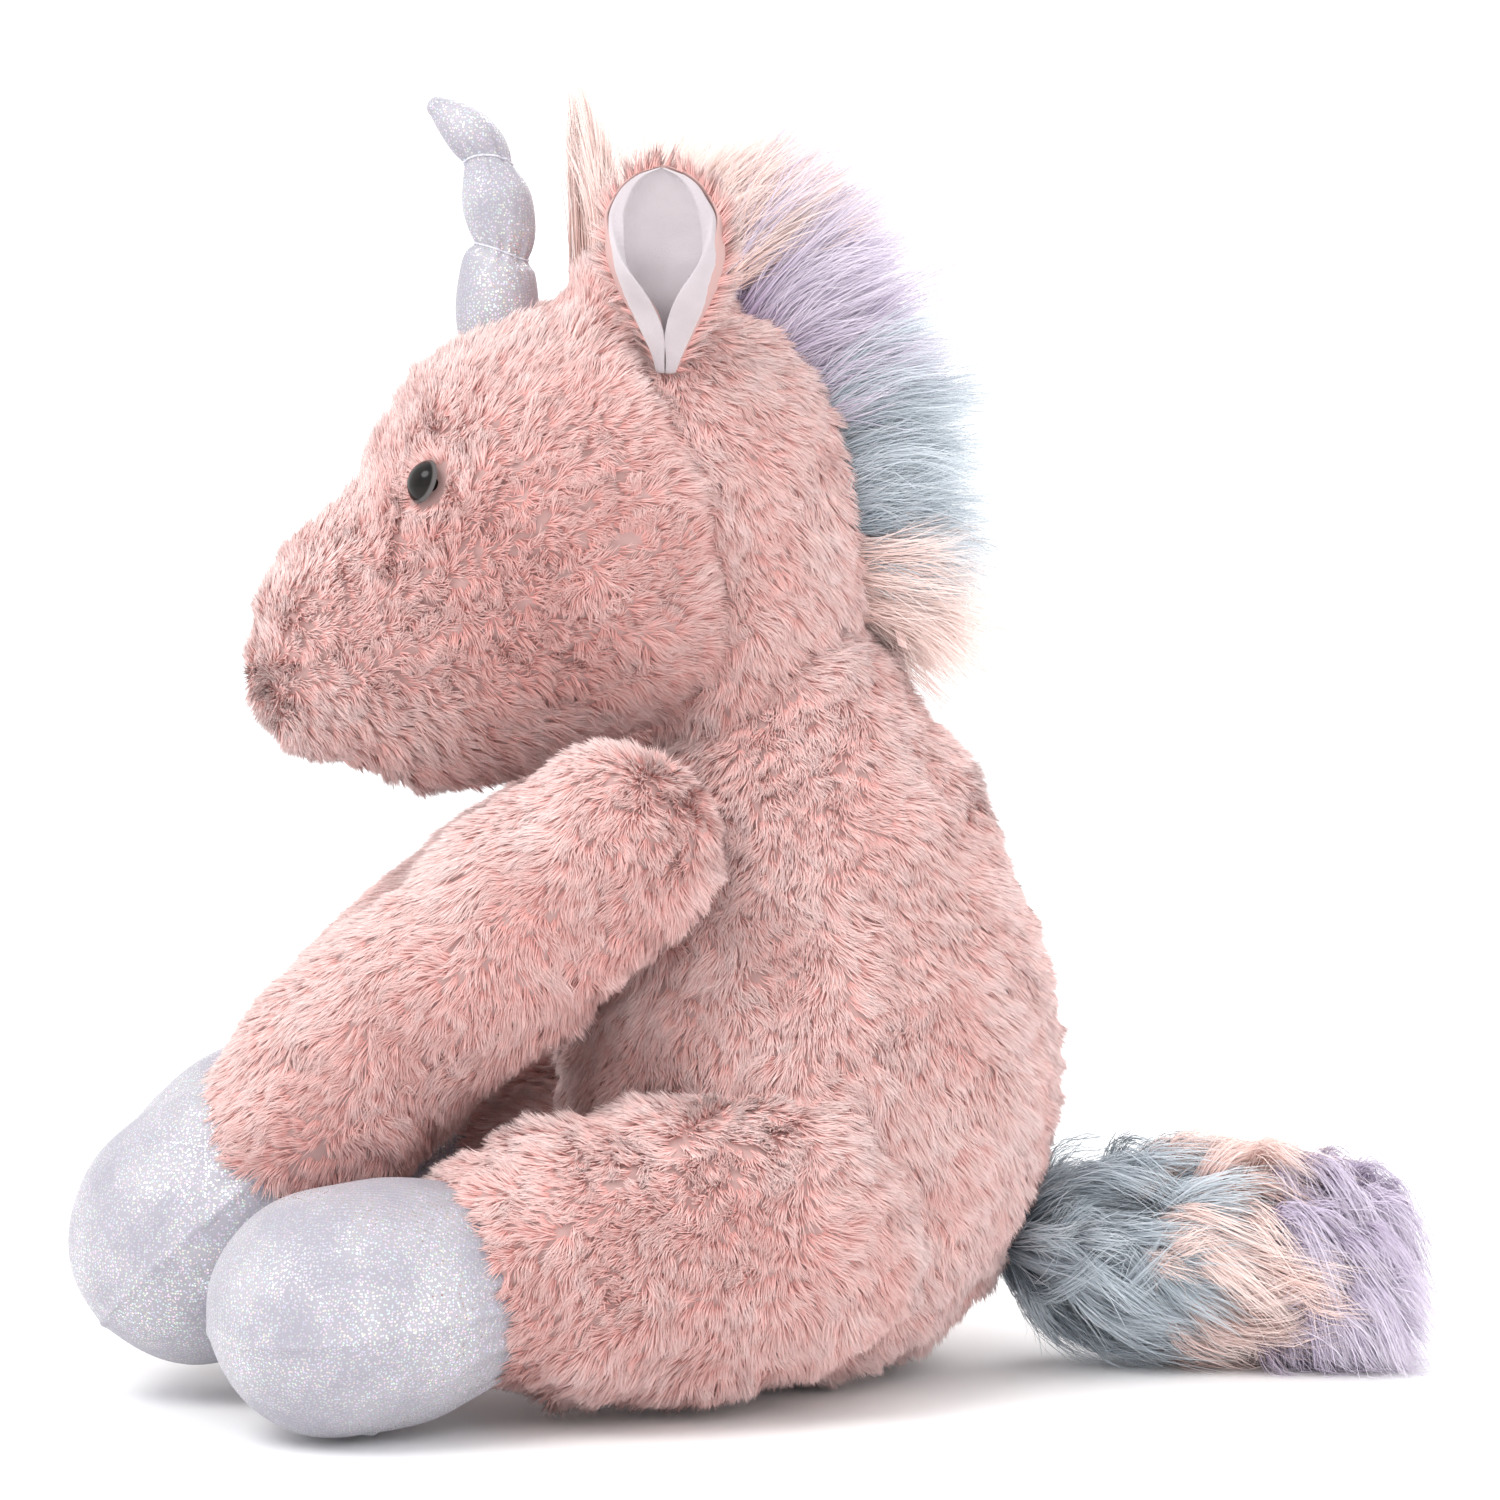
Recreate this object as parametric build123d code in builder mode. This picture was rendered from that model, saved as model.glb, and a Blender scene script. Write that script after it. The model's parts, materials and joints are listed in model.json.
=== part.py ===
"""Seated plush unicorn: fur panels, fillings, sparkly hooves and horn, plastic eyes, mane and tail.

The toy faces -Y, its left side is +X and +Z is up. It sits on the flat seat panel at Z = 0, and the
origin lies on that panel, under the neck. All sizes are millimetres.
"""
import os
from math import cos, radians, sin

from build123d import *

# ---- driving dimensions -------------------------------------------------------------------------
FUR = 3.0               # thickness of the fur and hoof fabrics, backing and packed pile
HORN_CLOTH = 1.6        # thickness of the horn's sparkly fabric
GAP = 0.8               # room left round a piece that turns in its neighbour
SIDES = ("left", "right")

# torso: height, centre along Y, half width, half depth of each level
TORSO_LEVELS = (
    (0, -14, 44, 32),
    (15, -17, 59, 45),
    (38, -12, 67, 58),
    (72, -10, 69, 65),
    (100, -12, 64, 60),
    (130, -13, 53, 49),
    (155, -12, 38, 30),
    (167, -13, 29, 25),
)
NECK_PIVOT = (0, -14, 158)
NECK_BALL = 30.0        # the torso's rounded top, on which the neck turns
BELLY_HALF_WIDTH = 30.0
BELLY_TOP = 152.0
SEAT_HEIGHT = 5.0

# head: a turned form whose axis rises from the muzzle to the nape
MUZZLE_TIP = (0, -151, 163)
HEAD_RISE = 30.0        # degrees, slope of the head's axis
HEAD_MUZZLE = (29, 29, 25)      # station, radius and slope of the muzzle's round end
HEAD_STATIONS = ((42, 38), (66, 50))
HEAD_NAPE = (105, 57, 0)        # station, radius and slope of the round back of the head
GUSSET_HALF_WIDTH = 15.0
CHIN_HALF_WIDTH = 20.0
NECK_FOOT_Z = 175.0     # the neck's lower rim
NECK_AXIS_FOOT = (0, -16, 150)
NECK_LEAN = 14.0        # degrees, the neck leans forward towards the head
NECK_FOOT_RADIUS = 35.0
NECK_TOP_RADIUS = 37.0
NECK_LENGTH = 92.0

# eyes
EYE_PLACE = (36.0, -104.0, 222.0)
EYE_AXIS = (0.55, -0.78, 0.30)
EYE_RADIUS = 5.6
EYE_DOME = 3.6
SHANK_RADIUS = 1.8
SHANK_LENGTH = 15.0
WASHER_RADIUS = 7.0
WASHER_DEPTH = 9.0      # from the dome's base to the washer's face
WASHER_THICKNESS = 1.5

# horn: three puffed lobes between two turns of thread
HORN_FOOT = (0, -86, 256)
HORN_LEAN = 14.0        # degrees forward
HORN_STATIONS = ((0, 9.5), (10, 10), (18, 9.3), (25, 6.9), (32, 8.5), (39, 8.2), (48, 4.8), (53, 5.6), (58, 4))
HORN_NECKS = (25.0, 48.0)
HORN_THREAD = 0.8

# ears: a pointed leaf, hinged where it meets the head
EAR_FOOT = (37, -44, 262)
EAR_LENGTH = 46.0
EAR_HALF_WIDTH = 14.0
EAR_WIDEST = 0.6        # of the length
EAR_FOOT_HALF_WIDTH = 6.0
EAR_TILT = 20.0         # degrees outwards from upright
EAR_OUTER = 4.0
EAR_INNER = 2.0

# limbs: joint centre, centre of the hoof, radii at fractions of that length, and the hoof's form
ARM_JOINT = (62, -57, 134)
ARM_HOOF = (42, -158, 40)
ARM_RADII = ((0.0, 27), (0.3, 27), (0.6, 27))
ARM_AXIS = (-1, 0, 1)   # the left arm lifts outwards about this line
ARM_TRAVEL = (-4, 70)   # degrees
ARM_CUFF = 0.80
ARM_CUFF_RADIUS = 26.0
LEG_JOINT = (57, -20, 42)
LEG_HOOF = (96, -118, 30.5)
LEG_RADII = ((0.0, 36), (0.3, 35.5), (0.55, 33))
LEG_AXIS = (-0.4663, 0, 1)
LEG_TRAVEL = (-4, 50)
LEG_CUFF = 0.71
LEG_CUFF_RADIUS = 27.0
SWEEP_STEP = 10         # degrees
HOOF_RADIUS = 30.0
HOOF_SLOPE = 35.0       # degrees, how far the round of the hoof reaches back towards the cuff

# mane, forelock and tail
MANE_HALF_WIDTH = 15.0
MANE_STRIP_HALF_WIDTH = 8.0
MANE_STRIP_THICKNESS = 2.0
MANE_ROOTS = ((-50, 262), (-30, 258), (-18, 240), (-4, 205), (0, 186))
MANE_TIPS = ((-48, 306), (6, 302), (25, 262), (38, 214), (36, 172))
MANE_CROWNS = ((-20, 314), (22, 286), (38, 240), (45, 192))
MANE_NAMES = ("mane_cream_upper", "mane_lavender", "mane_blue", "mane_cream_lower")
FORELOCK_FOOT = (0, -63, 274)
FORELOCK_LENGTH = 58.0
FORELOCK_LEAN = 8.0
FORELOCK_RADII = ((0, 9), (12, 10), (35, 6))
FORELOCK_TIP_RADIUS = 2.0
TAIL_ROOT = (0, 46, 31)
TAIL_CORE_RADIUS = 6.0
TAIL_CORE_LENGTH = 90.0
TAIL_HAIR = (
    ("tail_blue", ((8, 10), (14, 20), (26, 27), (42, 28))),
    ("tail_cream", ((42.5, 28), (62, 30), (80, 29))),
    ("tail_lavender", ((80.5, 29), (94, 26), (104, 16))),
)

# pellet bag in the seat
BAG_CENTRE = (0, -12, 23)
BAG_RADIUS = 14.0
BAG_STRAIGHT = 30.0
BAG_CLOTH = 1.0


def write(part, name):
    """Labels a finished piece and writes it to its own file."""
    part.label = name
    export_step(part, f"parts/{name}.step")


def largest(part):
    """The main solid of a cut piece, without the slivers that the cut leaves beside it."""
    return part.solids().sort_by(SortBy.VOLUME)[-1]


def along(start, end):
    """A plane for a turned profile: its Y axis runs from start to end, and its X axis is the radius."""
    direction = (Vector(*end) - Vector(*start)).normalized()
    across = direction.cross(Vector(1, 0, 0)).normalized()
    return Plane(origin=start, x_dir=across, z_dir=across.cross(direction))


def turned(plane, first, middle, last):
    """A closed form turned about the plane's Y axis. Its round ends are arcs, each given as its
    centre along the axis, its radius and the slope where it ends; middle holds stations between."""
    low, low_radius, low_slope = first
    high, high_radius, high_slope = last
    with BuildPart() as form:
        with BuildSketch(plane):
            with BuildLine():
                foot = CenterArc((0, low), low_radius, start_angle=-90, arc_size=90 - low_slope)
                top = CenterArc((0, high), high_radius, start_angle=high_slope, arc_size=90 - high_slope)
                points = [foot @ 1] + [(r, t) for t, r in middle] + [top @ 0]
                Spline(*points, tangents=(foot % 1, top % 0))
                Line(top @ 1, foot @ 0)
            make_face()
        revolve(axis=Axis(plane.origin, plane.y_dir))
    return form.part


def barrel(plane, stations):
    """A form turned about the plane's Y axis, flat at both ends."""
    with BuildPart() as form:
        with BuildSketch(plane):
            with BuildLine():
                points = [(r, t) for t, r in stations]
                outline = Spline(*points)
                Polyline(outline @ 1, (0, points[-1][1]), (0, points[0][1]), outline @ 0)
            make_face()
        revolve(axis=Axis(plane.origin, plane.y_dir))
    return form.part


def ball(centre, radius):
    """A sphere at a point."""
    with BuildPart() as form:
        with Locations(centre):
            Sphere(radius)
    return form.part


def cut(body, *tools):
    """What is left of a body outside every tool."""
    with BuildPart() as rest:
        add(body)
        for tool in tools:
            add(tool, mode=Mode.SUBTRACT)
    return rest.part


def common(body, tool):
    """The part of a body that lies inside a tool."""
    with BuildPart() as rest:
        add(body)
        add(tool, mode=Mode.INTERSECT)
    return rest.part


def block(low, high):
    """A box between two corners."""
    size = [b - a for a, b in zip(low, high)]
    middle = tuple((a + b) / 2 for a, b in zip(low, high))
    with BuildPart() as form:
        with Locations(middle):
            Box(*size)
    return form.part


def on_side(part, side):
    """The left piece as it is, or its mirror image for the right side."""
    if side == "left":
        return part
    with BuildPart() as other:
        add(part)
        mirror(about=Plane.YZ, mode=Mode.REPLACE)
    return other.part


def half(part, side):
    """The part of a piece on one side of the toy."""
    with BuildPart() as rest:
        add(part)
        split(bisect_by=Plane.YZ, keep=Keep.TOP if side == "left" else Keep.BOTTOM)
    return rest.part


# ---- limbs --------------------------------------------------------------------------------------
def limb_form(joint, hoof, radii, cuff, cuff_radius, inset=0.0):
    """A whole limb: a ball at the joint, a tube, a waist at the cuff and the round hoof."""
    length = (Vector(*hoof) - Vector(*joint)).length
    root = radii[0][1] - inset
    tube = [(f * length, r - inset) for f, r in radii[1:]]
    waist = [(cuff * length, cuff_radius - inset)]
    hoof_end = (length, HOOF_RADIUS - inset, -HOOF_SLOPE)
    return turned(along(joint, hoof), (0, root, 0), tube + waist, hoof_end)


def cuff_plane(joint, hoof, cuff):
    """The plane of the seam between sleeve and hoof, facing the hoof."""
    start, end = Vector(*joint), Vector(*hoof)
    return Plane(origin=start + (end - start) * cuff, z_dir=(end - start).normalized())


def sole_plane(joint, hoof):
    """The plane of the hoof's level seam, facing up."""
    direction = (Vector(*hoof) - Vector(*joint)).normalized()
    across = direction.cross(Vector(0, 0, 1)).normalized()
    return Plane(origin=hoof, x_dir=direction, z_dir=across.cross(direction))


def swept(part, joint, axis, travel):
    """A moving part at every step of its travel, so that the room it needs can be cut away."""
    low, high = travel
    steps = [low] + list(range(0, high + 1, SWEEP_STEP))
    return [part.rotate(Axis(joint, axis), angle) for angle in steps]


LIMBS = {
    "arm": (ARM_JOINT, ARM_HOOF, ARM_RADII, ARM_CUFF, ARM_CUFF_RADIUS),
    "leg": (LEG_JOINT, LEG_HOOF, LEG_RADII, LEG_CUFF, LEG_CUFF_RADIUS),
}
TRAVEL = {"arm": (ARM_AXIS, ARM_TRAVEL), "leg": (LEG_AXIS, LEG_TRAVEL)}
sockets = {}
for limb, form in LIMBS.items():
    joint, hoof, radii, cuff, cuff_radius = form
    outside = limb_form(*form)
    sockets[limb] = swept(limb_form(*form, inset=-GAP), joint, *TRAVEL[limb])

    with BuildPart() as filling:
        add(limb_form(*form, inset=FUR))

    with BuildPart() as sleeve:
        add(outside)
        add(filling.part, mode=Mode.SUBTRACT)
        split(bisect_by=cuff_plane(joint, hoof, cuff), keep=Keep.BOTTOM)

    with BuildPart() as hoof_top:
        add(outside)
        add(filling.part, mode=Mode.SUBTRACT)
        split(bisect_by=cuff_plane(joint, hoof, cuff), keep=Keep.TOP)
        split(bisect_by=sole_plane(joint, hoof), keep=Keep.TOP)

    with BuildPart() as hoof_sole:
        add(outside)
        add(filling.part, mode=Mode.SUBTRACT)
        split(bisect_by=cuff_plane(joint, hoof, cuff), keep=Keep.TOP)
        split(bisect_by=sole_plane(joint, hoof), keep=Keep.BOTTOM)

    for side in SIDES:
        write(on_side(sleeve.part, side), f"{limb}_sleeve_{side}")
        write(on_side(filling.part, side), f"{limb}_filling_{side}")
        write(on_side(hoof_top.part, side), f"{limb}_hoof_top_{side}")
        write(on_side(hoof_sole.part, side), f"{limb}_hoof_sole_{side}")

# ---- torso --------------------------------------------------------------------------------------
def torso_form(inset=0.0):
    """The torso: a lofted egg with a flat seat, and the round top on which the neck turns."""
    with BuildPart() as form:
        for z, y, half_width, half_depth in TORSO_LEVELS:
            height = z + inset if z == 0 else z
            with BuildSketch(Plane.XY.offset(height)):
                with Locations((0, y)):
                    Ellipse(half_width - inset, half_depth - inset)
        loft()
        with Locations(NECK_PIVOT):
            Sphere(NECK_BALL - inset)
    return form.part


WIDE = 400.0            # larger than the toy
limb_sockets = [on_side(room, side) for rooms in sockets.values() for room in rooms for side in SIDES]
torso_outside = torso_form()
torso_inside = torso_form(inset=FUR)
torso_shell = cut(torso_outside, torso_inside, *limb_sockets)
seat_space = block((-WIDE, -WIDE, -1), (WIDE, WIDE, SEAT_HEIGHT))
belly_low = (-BELLY_HALF_WIDTH, -WIDE, SEAT_HEIGHT)
belly_space = block(belly_low, (BELLY_HALF_WIDTH, TORSO_LEVELS[0][1], BELLY_TOP))

with BuildPart() as seat_panel:
    add(torso_shell)
    add(seat_space, mode=Mode.INTERSECT)
write(largest(seat_panel.part), "seat_panel")

with BuildPart() as belly_panel:
    add(torso_shell)
    add(belly_space, mode=Mode.INTERSECT)
write(largest(belly_panel.part), "belly_panel")

torso_sides = cut(torso_shell, seat_space, belly_space)
for side in SIDES:
    write(largest(half(torso_sides, side)), f"torso_panel_{side}")


def bag_form(radius):
    """A rounded bolster along Y that lies in the seat."""
    x, y, z = BAG_CENTRE
    ends = (y - BAG_STRAIGHT / 2, y + BAG_STRAIGHT / 2)
    with BuildPart() as form:
        with Locations((x, y, z)):
            Cylinder(radius, BAG_STRAIGHT, rotation=(90, 0, 0))
        with Locations(*[(x, end, z) for end in ends]):
            Sphere(radius)
    return form.part


with BuildPart() as pellets:
    add(bag_form(BAG_RADIUS - BAG_CLOTH))
write(pellets.part, "pellets")

with BuildPart() as pellet_bag:
    add(bag_form(BAG_RADIUS))
    add(pellets.part, mode=Mode.SUBTRACT)
write(pellet_bag.part, "pellet_bag")

with BuildPart() as torso_filling:
    add(torso_inside)
    for tool in (*limb_sockets, bag_form(BAG_RADIUS)):
        add(tool, mode=Mode.SUBTRACT)
write(largest(torso_filling.part), "torso_filling")

# ---- head ---------------------------------------------------------------------------------------
head_direction = Vector(0, cos(radians(HEAD_RISE)), sin(radians(HEAD_RISE)))
HEAD_PLANE = along(MUZZLE_TIP, Vector(*MUZZLE_TIP) + head_direction)
neck_direction = Vector(0, -sin(radians(NECK_LEAN)), cos(radians(NECK_LEAN)))
NECK_PLANE = along(NECK_AXIS_FOOT, Vector(*NECK_AXIS_FOOT) + neck_direction)


def head_form(inset=0.0):
    """The head without the neck."""
    stations = [(t, r - inset) for t, r in HEAD_STATIONS]
    ends = [(t, r - inset, slope) for t, r, slope in (HEAD_MUZZLE, HEAD_NAPE)]
    return turned(HEAD_PLANE, ends[0], stations, ends[1])


def neck_form(inset=0.0):
    """The neck's tube, which runs up into the head."""
    foot, top = NECK_FOOT_RADIUS - inset, NECK_TOP_RADIUS - inset
    stations = ((0, foot), (NECK_LENGTH / 2, (foot + top) / 2), (NECK_LENGTH - 2 * inset, top))
    return barrel(NECK_PLANE, stations)


def eye_plane(side):
    """The plane on which an eye's dome stands."""
    turn = 1 if side == "left" else -1
    return Plane(
        origin=(turn * EYE_PLACE[0], *EYE_PLACE[1:]),
        x_dir=(0, 0, 1),
        z_dir=Vector(turn * EYE_AXIS[0], *EYE_AXIS[1:]),
    )


def eye_space(side):
    """The room that an eye, its shank and its washer take in the head."""
    plane = eye_plane(side)
    with BuildPart() as space:
        with BuildSketch(plane.offset(EYE_DOME + GAP)):
            Circle(EYE_RADIUS + GAP)
        extrude(amount=-EYE_DOME - 2 * GAP)
        with BuildSketch(plane):
            Circle(SHANK_RADIUS)
        extrude(amount=-SHANK_LENGTH)
        with BuildSketch(plane.offset(-WASHER_DEPTH)):
            Circle(WASHER_RADIUS)
        extrude(amount=-WASHER_THICKNESS)
    return space.part


neck_socket = ball(NECK_PIVOT, NECK_BALL + GAP)
below_neck = block((-WIDE, -WIDE, -1), (WIDE, WIDE, NECK_FOOT_Z))
eye_spaces = [eye_space(side) for side in SIDES]
head_outside, head_inside = head_form(), head_form(inset=FUR)
head_shell = cut(head_outside, head_inside, neck_socket, *eye_spaces)

ABOVE_AXIS = Plane(origin=MUZZLE_TIP, x_dir=(1, 0, 0), z_dir=Vector(1, 0, 0).cross(head_direction))
slabs = {}
for name, half_width, keep in (
    ("head_gusset", GUSSET_HALF_WIDTH, Keep.TOP),
    ("chin_panel", CHIN_HALF_WIDTH, Keep.BOTTOM),
):
    with BuildPart() as slab:
        Box(2 * half_width, 2 * WIDE, 2 * WIDE)
        split(bisect_by=ABOVE_AXIS, keep=keep)
    slabs[name] = slab.part
    write(largest(common(head_shell, slab.part)), name)

head_sides = cut(head_shell, *slabs.values())
for side in SIDES:
    write(largest(half(head_sides, side)), f"head_panel_{side}")

with BuildPart() as head_filling:
    add(head_inside)
    for tool in (neck_socket, *eye_spaces):
        add(tool, mode=Mode.SUBTRACT)
write(largest(head_filling.part), "head_filling")

neck_clear = (head_outside, neck_socket, below_neck)
neck_shell = cut(neck_form(), neck_form(inset=FUR), *neck_clear)
for side in SIDES:
    write(largest(half(neck_shell, side)), f"neck_panel_{side}")
with BuildPart() as neck_filling:
    add(neck_form(inset=FUR))
    for tool in neck_clear:
        add(tool, mode=Mode.SUBTRACT)
write(largest(neck_filling.part), "neck_filling")

# ---- eyes ---------------------------------------------------------------------------------------
dome_radius = (EYE_RADIUS ** 2 + EYE_DOME ** 2) / (2 * EYE_DOME)
for side in SIDES:
    plane = eye_plane(side)
    with BuildPart() as eye:
        with BuildSketch(Plane(origin=plane.origin, x_dir=plane.x_dir, z_dir=plane.y_dir)):
            with BuildLine():
                rim = (EYE_RADIUS, 0)
                RadiusArc((0, -EYE_DOME), rim, -dome_radius)
                Polyline(rim, (0, 0), (0, -EYE_DOME))
            make_face()
        revolve(axis=Axis(plane.origin, plane.z_dir))
        with BuildSketch(plane):
            Circle(SHANK_RADIUS)
        extrude(amount=-SHANK_LENGTH)
    write(eye.part, f"eye_{side}")

    with BuildPart() as washer:
        with BuildSketch(plane.offset(-WASHER_DEPTH)):
            Circle(WASHER_RADIUS)
            Circle(SHANK_RADIUS, mode=Mode.SUBTRACT)
        extrude(amount=-WASHER_THICKNESS)
    write(washer.part, f"eye_washer_{side}")

# ---- horn ---------------------------------------------------------------------------------------
horn_direction = Vector(0, -sin(radians(HORN_LEAN)), cos(radians(HORN_LEAN)))
HORN_PLANE = along(HORN_FOOT, Vector(*HORN_FOOT) + horn_direction)


def horn_form(inset=0.0):
    """The horn: three puffed lobes with a round tip."""
    stations = [(t, r - inset) for t, r in HORN_STATIONS]
    with BuildPart() as form:
        with BuildSketch(HORN_PLANE):
            with BuildLine():
                side = Spline(*[(r, t) for t, r in stations])
                top, tip_radius = stations[-1]
                tip = CenterArc((0, top), tip_radius, start_angle=0, arc_size=90)
                Polyline(tip @ 1, (0, 0), side @ 0)
            make_face()
        revolve(axis=Axis(HORN_PLANE.origin, HORN_PLANE.y_dir))
    return form.part


with BuildPart() as horn_filling:
    add(horn_form(inset=HORN_CLOTH))
    add(head_outside, mode=Mode.SUBTRACT)
write(largest(horn_filling.part), "horn_filling")

with BuildPart() as horn_thread:
    for height in HORN_NECKS:
        radius = dict(HORN_STATIONS)[height] + HORN_THREAD
        with BuildSketch(HORN_PLANE):
            with Locations((radius, height)):
                Circle(HORN_THREAD)
        revolve(axis=Axis(HORN_PLANE.origin, HORN_PLANE.y_dir))
    add(horn_form(), mode=Mode.SUBTRACT)
write(horn_thread.part, "horn_thread")

with BuildPart() as horn_cover:
    add(horn_form())
    add(horn_form(inset=HORN_CLOTH), mode=Mode.SUBTRACT)
    add(head_outside, mode=Mode.SUBTRACT)
write(largest(horn_cover.part), "horn_cover")

# ---- ears ---------------------------------------------------------------------------------------
for side in SIDES:
    turn = 1 if side == "left" else -1
    outwards = Vector(turn * cos(radians(EAR_TILT)), 0, -sin(radians(EAR_TILT)))
    foot = Vector(turn * EAR_FOOT[0], *EAR_FOOT[1:])
    leaf = Plane(origin=foot, x_dir=(0, turn, 0), z_dir=outwards)
    for name, start, thickness in (
        ("ear_inner", 0.0, EAR_INNER),
        ("ear_outer", -EAR_OUTER, EAR_OUTER),
    ):
        with BuildPart() as ear:
            with BuildSketch(leaf.offset(start)):
                with BuildLine():
                    wide = EAR_LENGTH * EAR_WIDEST
                    foot_point, tip = (EAR_FOOT_HALF_WIDTH, 0), (0, EAR_LENGTH)
                    Spline(foot_point, (EAR_HALF_WIDTH, wide), tip, tangents=((0.6, 1), (-1, 0.35)))
                    Line(foot_point, (0, 0))
                    mirror(about=Plane.YZ)
                make_face()
            extrude(amount=thickness)
        write(ear.part, f"{name}_{side}")

# ---- mane and forelock --------------------------------------------------------------------------
def crest(points, half_width):
    """A slab of hair with this outline in the middle plane of the toy."""
    with BuildPart() as slab:
        with BuildSketch(Plane.YZ):
            with BuildLine():
                Polyline(*points, close=True)
            make_face()
        extrude(amount=half_width, both=True)
    return slab.part


with BuildPart() as nape:
    add(head_form(inset=-MANE_STRIP_THICKNESS))
    add(neck_form(inset=-MANE_STRIP_THICKNESS))
strip_outline = (*MANE_ROOTS, *reversed(MANE_TIPS))
with BuildPart() as mane_strip:
    add(common(nape.part, crest(strip_outline, MANE_STRIP_HALF_WIDTH)))
    for tool in (head_outside, neck_form(), neck_socket, below_neck):
        add(tool, mode=Mode.SUBTRACT)
write(largest(mane_strip.part), "mane_strip")

for index, name in enumerate(MANE_NAMES):
    roots, tips = MANE_ROOTS[index:index + 2], MANE_TIPS[index:index + 2]
    outline = (roots[0], tips[0], MANE_CROWNS[index], tips[1], roots[1])
    with BuildPart() as lock:
        add(crest(outline, MANE_HALF_WIDTH))
        for tool in (head_outside, neck_form(), mane_strip.part):
            add(tool, mode=Mode.SUBTRACT)
    write(largest(lock.part), name)

forelock_direction = Vector(0, -sin(radians(FORELOCK_LEAN)), cos(radians(FORELOCK_LEAN)))
FORELOCK_PLANE = along(FORELOCK_FOOT, Vector(*FORELOCK_FOOT) + forelock_direction)
with BuildPart() as forelock:
    add(barrel(FORELOCK_PLANE, (*FORELOCK_RADII, (FORELOCK_LENGTH, FORELOCK_TIP_RADIUS))))
    add(head_outside, mode=Mode.SUBTRACT)
write(largest(forelock.part), "forelock")

# ---- tail ---------------------------------------------------------------------------------------
TAIL_PLANE = along(TAIL_ROOT, Vector(*TAIL_ROOT) + Vector(0, 1, 0))
with BuildPart() as tail_core:
    root = (TAIL_CORE_RADIUS, TAIL_CORE_RADIUS, 0)
    tip = (TAIL_CORE_LENGTH - TAIL_CORE_RADIUS, TAIL_CORE_RADIUS, 0)
    add(turned(TAIL_PLANE, root, (), tip))
write(tail_core.part, "tail_core")
for name, stations in TAIL_HAIR:
    with BuildPart() as tail_hair:
        add(barrel(TAIL_PLANE, stations))
        add(tail_core.part, mode=Mode.SUBTRACT)
    write(tail_hair.part, name)
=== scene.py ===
"""Looks of the seated plush unicorn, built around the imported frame. Everything is in metres."""
import json
import math

import bpy
import numpy as np
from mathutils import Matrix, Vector


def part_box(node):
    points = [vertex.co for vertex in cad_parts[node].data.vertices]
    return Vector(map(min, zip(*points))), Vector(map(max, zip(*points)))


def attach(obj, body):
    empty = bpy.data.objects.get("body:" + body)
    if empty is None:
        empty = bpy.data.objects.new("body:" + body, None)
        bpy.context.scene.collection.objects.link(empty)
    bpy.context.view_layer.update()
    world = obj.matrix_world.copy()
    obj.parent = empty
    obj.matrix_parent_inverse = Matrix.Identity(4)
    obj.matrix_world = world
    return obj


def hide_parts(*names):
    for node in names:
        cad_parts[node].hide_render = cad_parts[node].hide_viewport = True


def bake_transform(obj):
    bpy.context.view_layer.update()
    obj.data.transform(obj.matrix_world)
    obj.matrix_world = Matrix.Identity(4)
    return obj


BLACK, WHITE = (0, 0, 0, 1), (1, 1, 1, 1)
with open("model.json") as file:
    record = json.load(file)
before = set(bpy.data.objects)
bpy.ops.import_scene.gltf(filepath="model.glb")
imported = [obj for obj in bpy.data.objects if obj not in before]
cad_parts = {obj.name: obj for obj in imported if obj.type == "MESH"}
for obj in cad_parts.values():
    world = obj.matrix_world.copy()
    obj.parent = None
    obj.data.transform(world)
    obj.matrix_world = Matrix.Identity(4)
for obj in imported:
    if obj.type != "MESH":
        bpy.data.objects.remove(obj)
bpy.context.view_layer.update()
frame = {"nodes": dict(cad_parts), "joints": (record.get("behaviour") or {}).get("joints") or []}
MM = 0.001
TURN = 2 * math.pi
UP = np.array([0.0, 0.0, 1.0])
SIDES = (("left", 1.0), ("right", -1.0))
joints = {joint["name"]: joint for joint in frame["joints"]}


def unit(v):
    """Vectors at length one."""
    v = np.asarray(v, float)
    return v / np.maximum(np.linalg.norm(v, axis=-1, keepdims=True), 1e-12)


def bump(distance, width):
    """A smooth bump: 1 at no distance, near 0 past the width."""
    return np.exp(-(np.asarray(distance) / width) ** 2)


def ramp(value, low, high):
    """0 below low, 1 above high, and a smooth step between."""
    t = np.clip((np.asarray(value, float) - low) / (high - low), 0, 1)
    return t * t * (3 - 2 * t)


def circle(count):
    """Even turns round a circle."""
    return np.linspace(0, TURN, count, endpoint=False)


def columns(*values):
    """Numbers or arrays of them, side by side."""
    return np.stack(np.broadcast_arrays(*values), axis=-1)


def away(points, place=0.0):
    """Each point's distance from a place."""
    return np.linalg.norm(points - place, axis=-1)


def between(first, second, angle):
    """Between two directions: the first at no angle, the second at a right angle."""
    return first * np.cos(angle)[..., None] + second * np.sin(angle)[..., None]


class Ripples:
    """A smooth random field in space: waves in random directions, with a spread of about 1."""

    def __init__(self, size, seed, waves=12):
        dice = np.random.default_rng(seed)
        pace = TURN / size * dice.uniform(0.6, 1.5, (waves, 1))
        self.ways = unit(dice.normal(size=(waves, 3))) * pace
        self.phases = dice.uniform(0, TURN, waves)

    def __call__(self, points):
        return np.sin(points @ self.ways.T + self.phases).sum(axis=1) / math.sqrt(len(self.phases) / 2)


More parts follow.
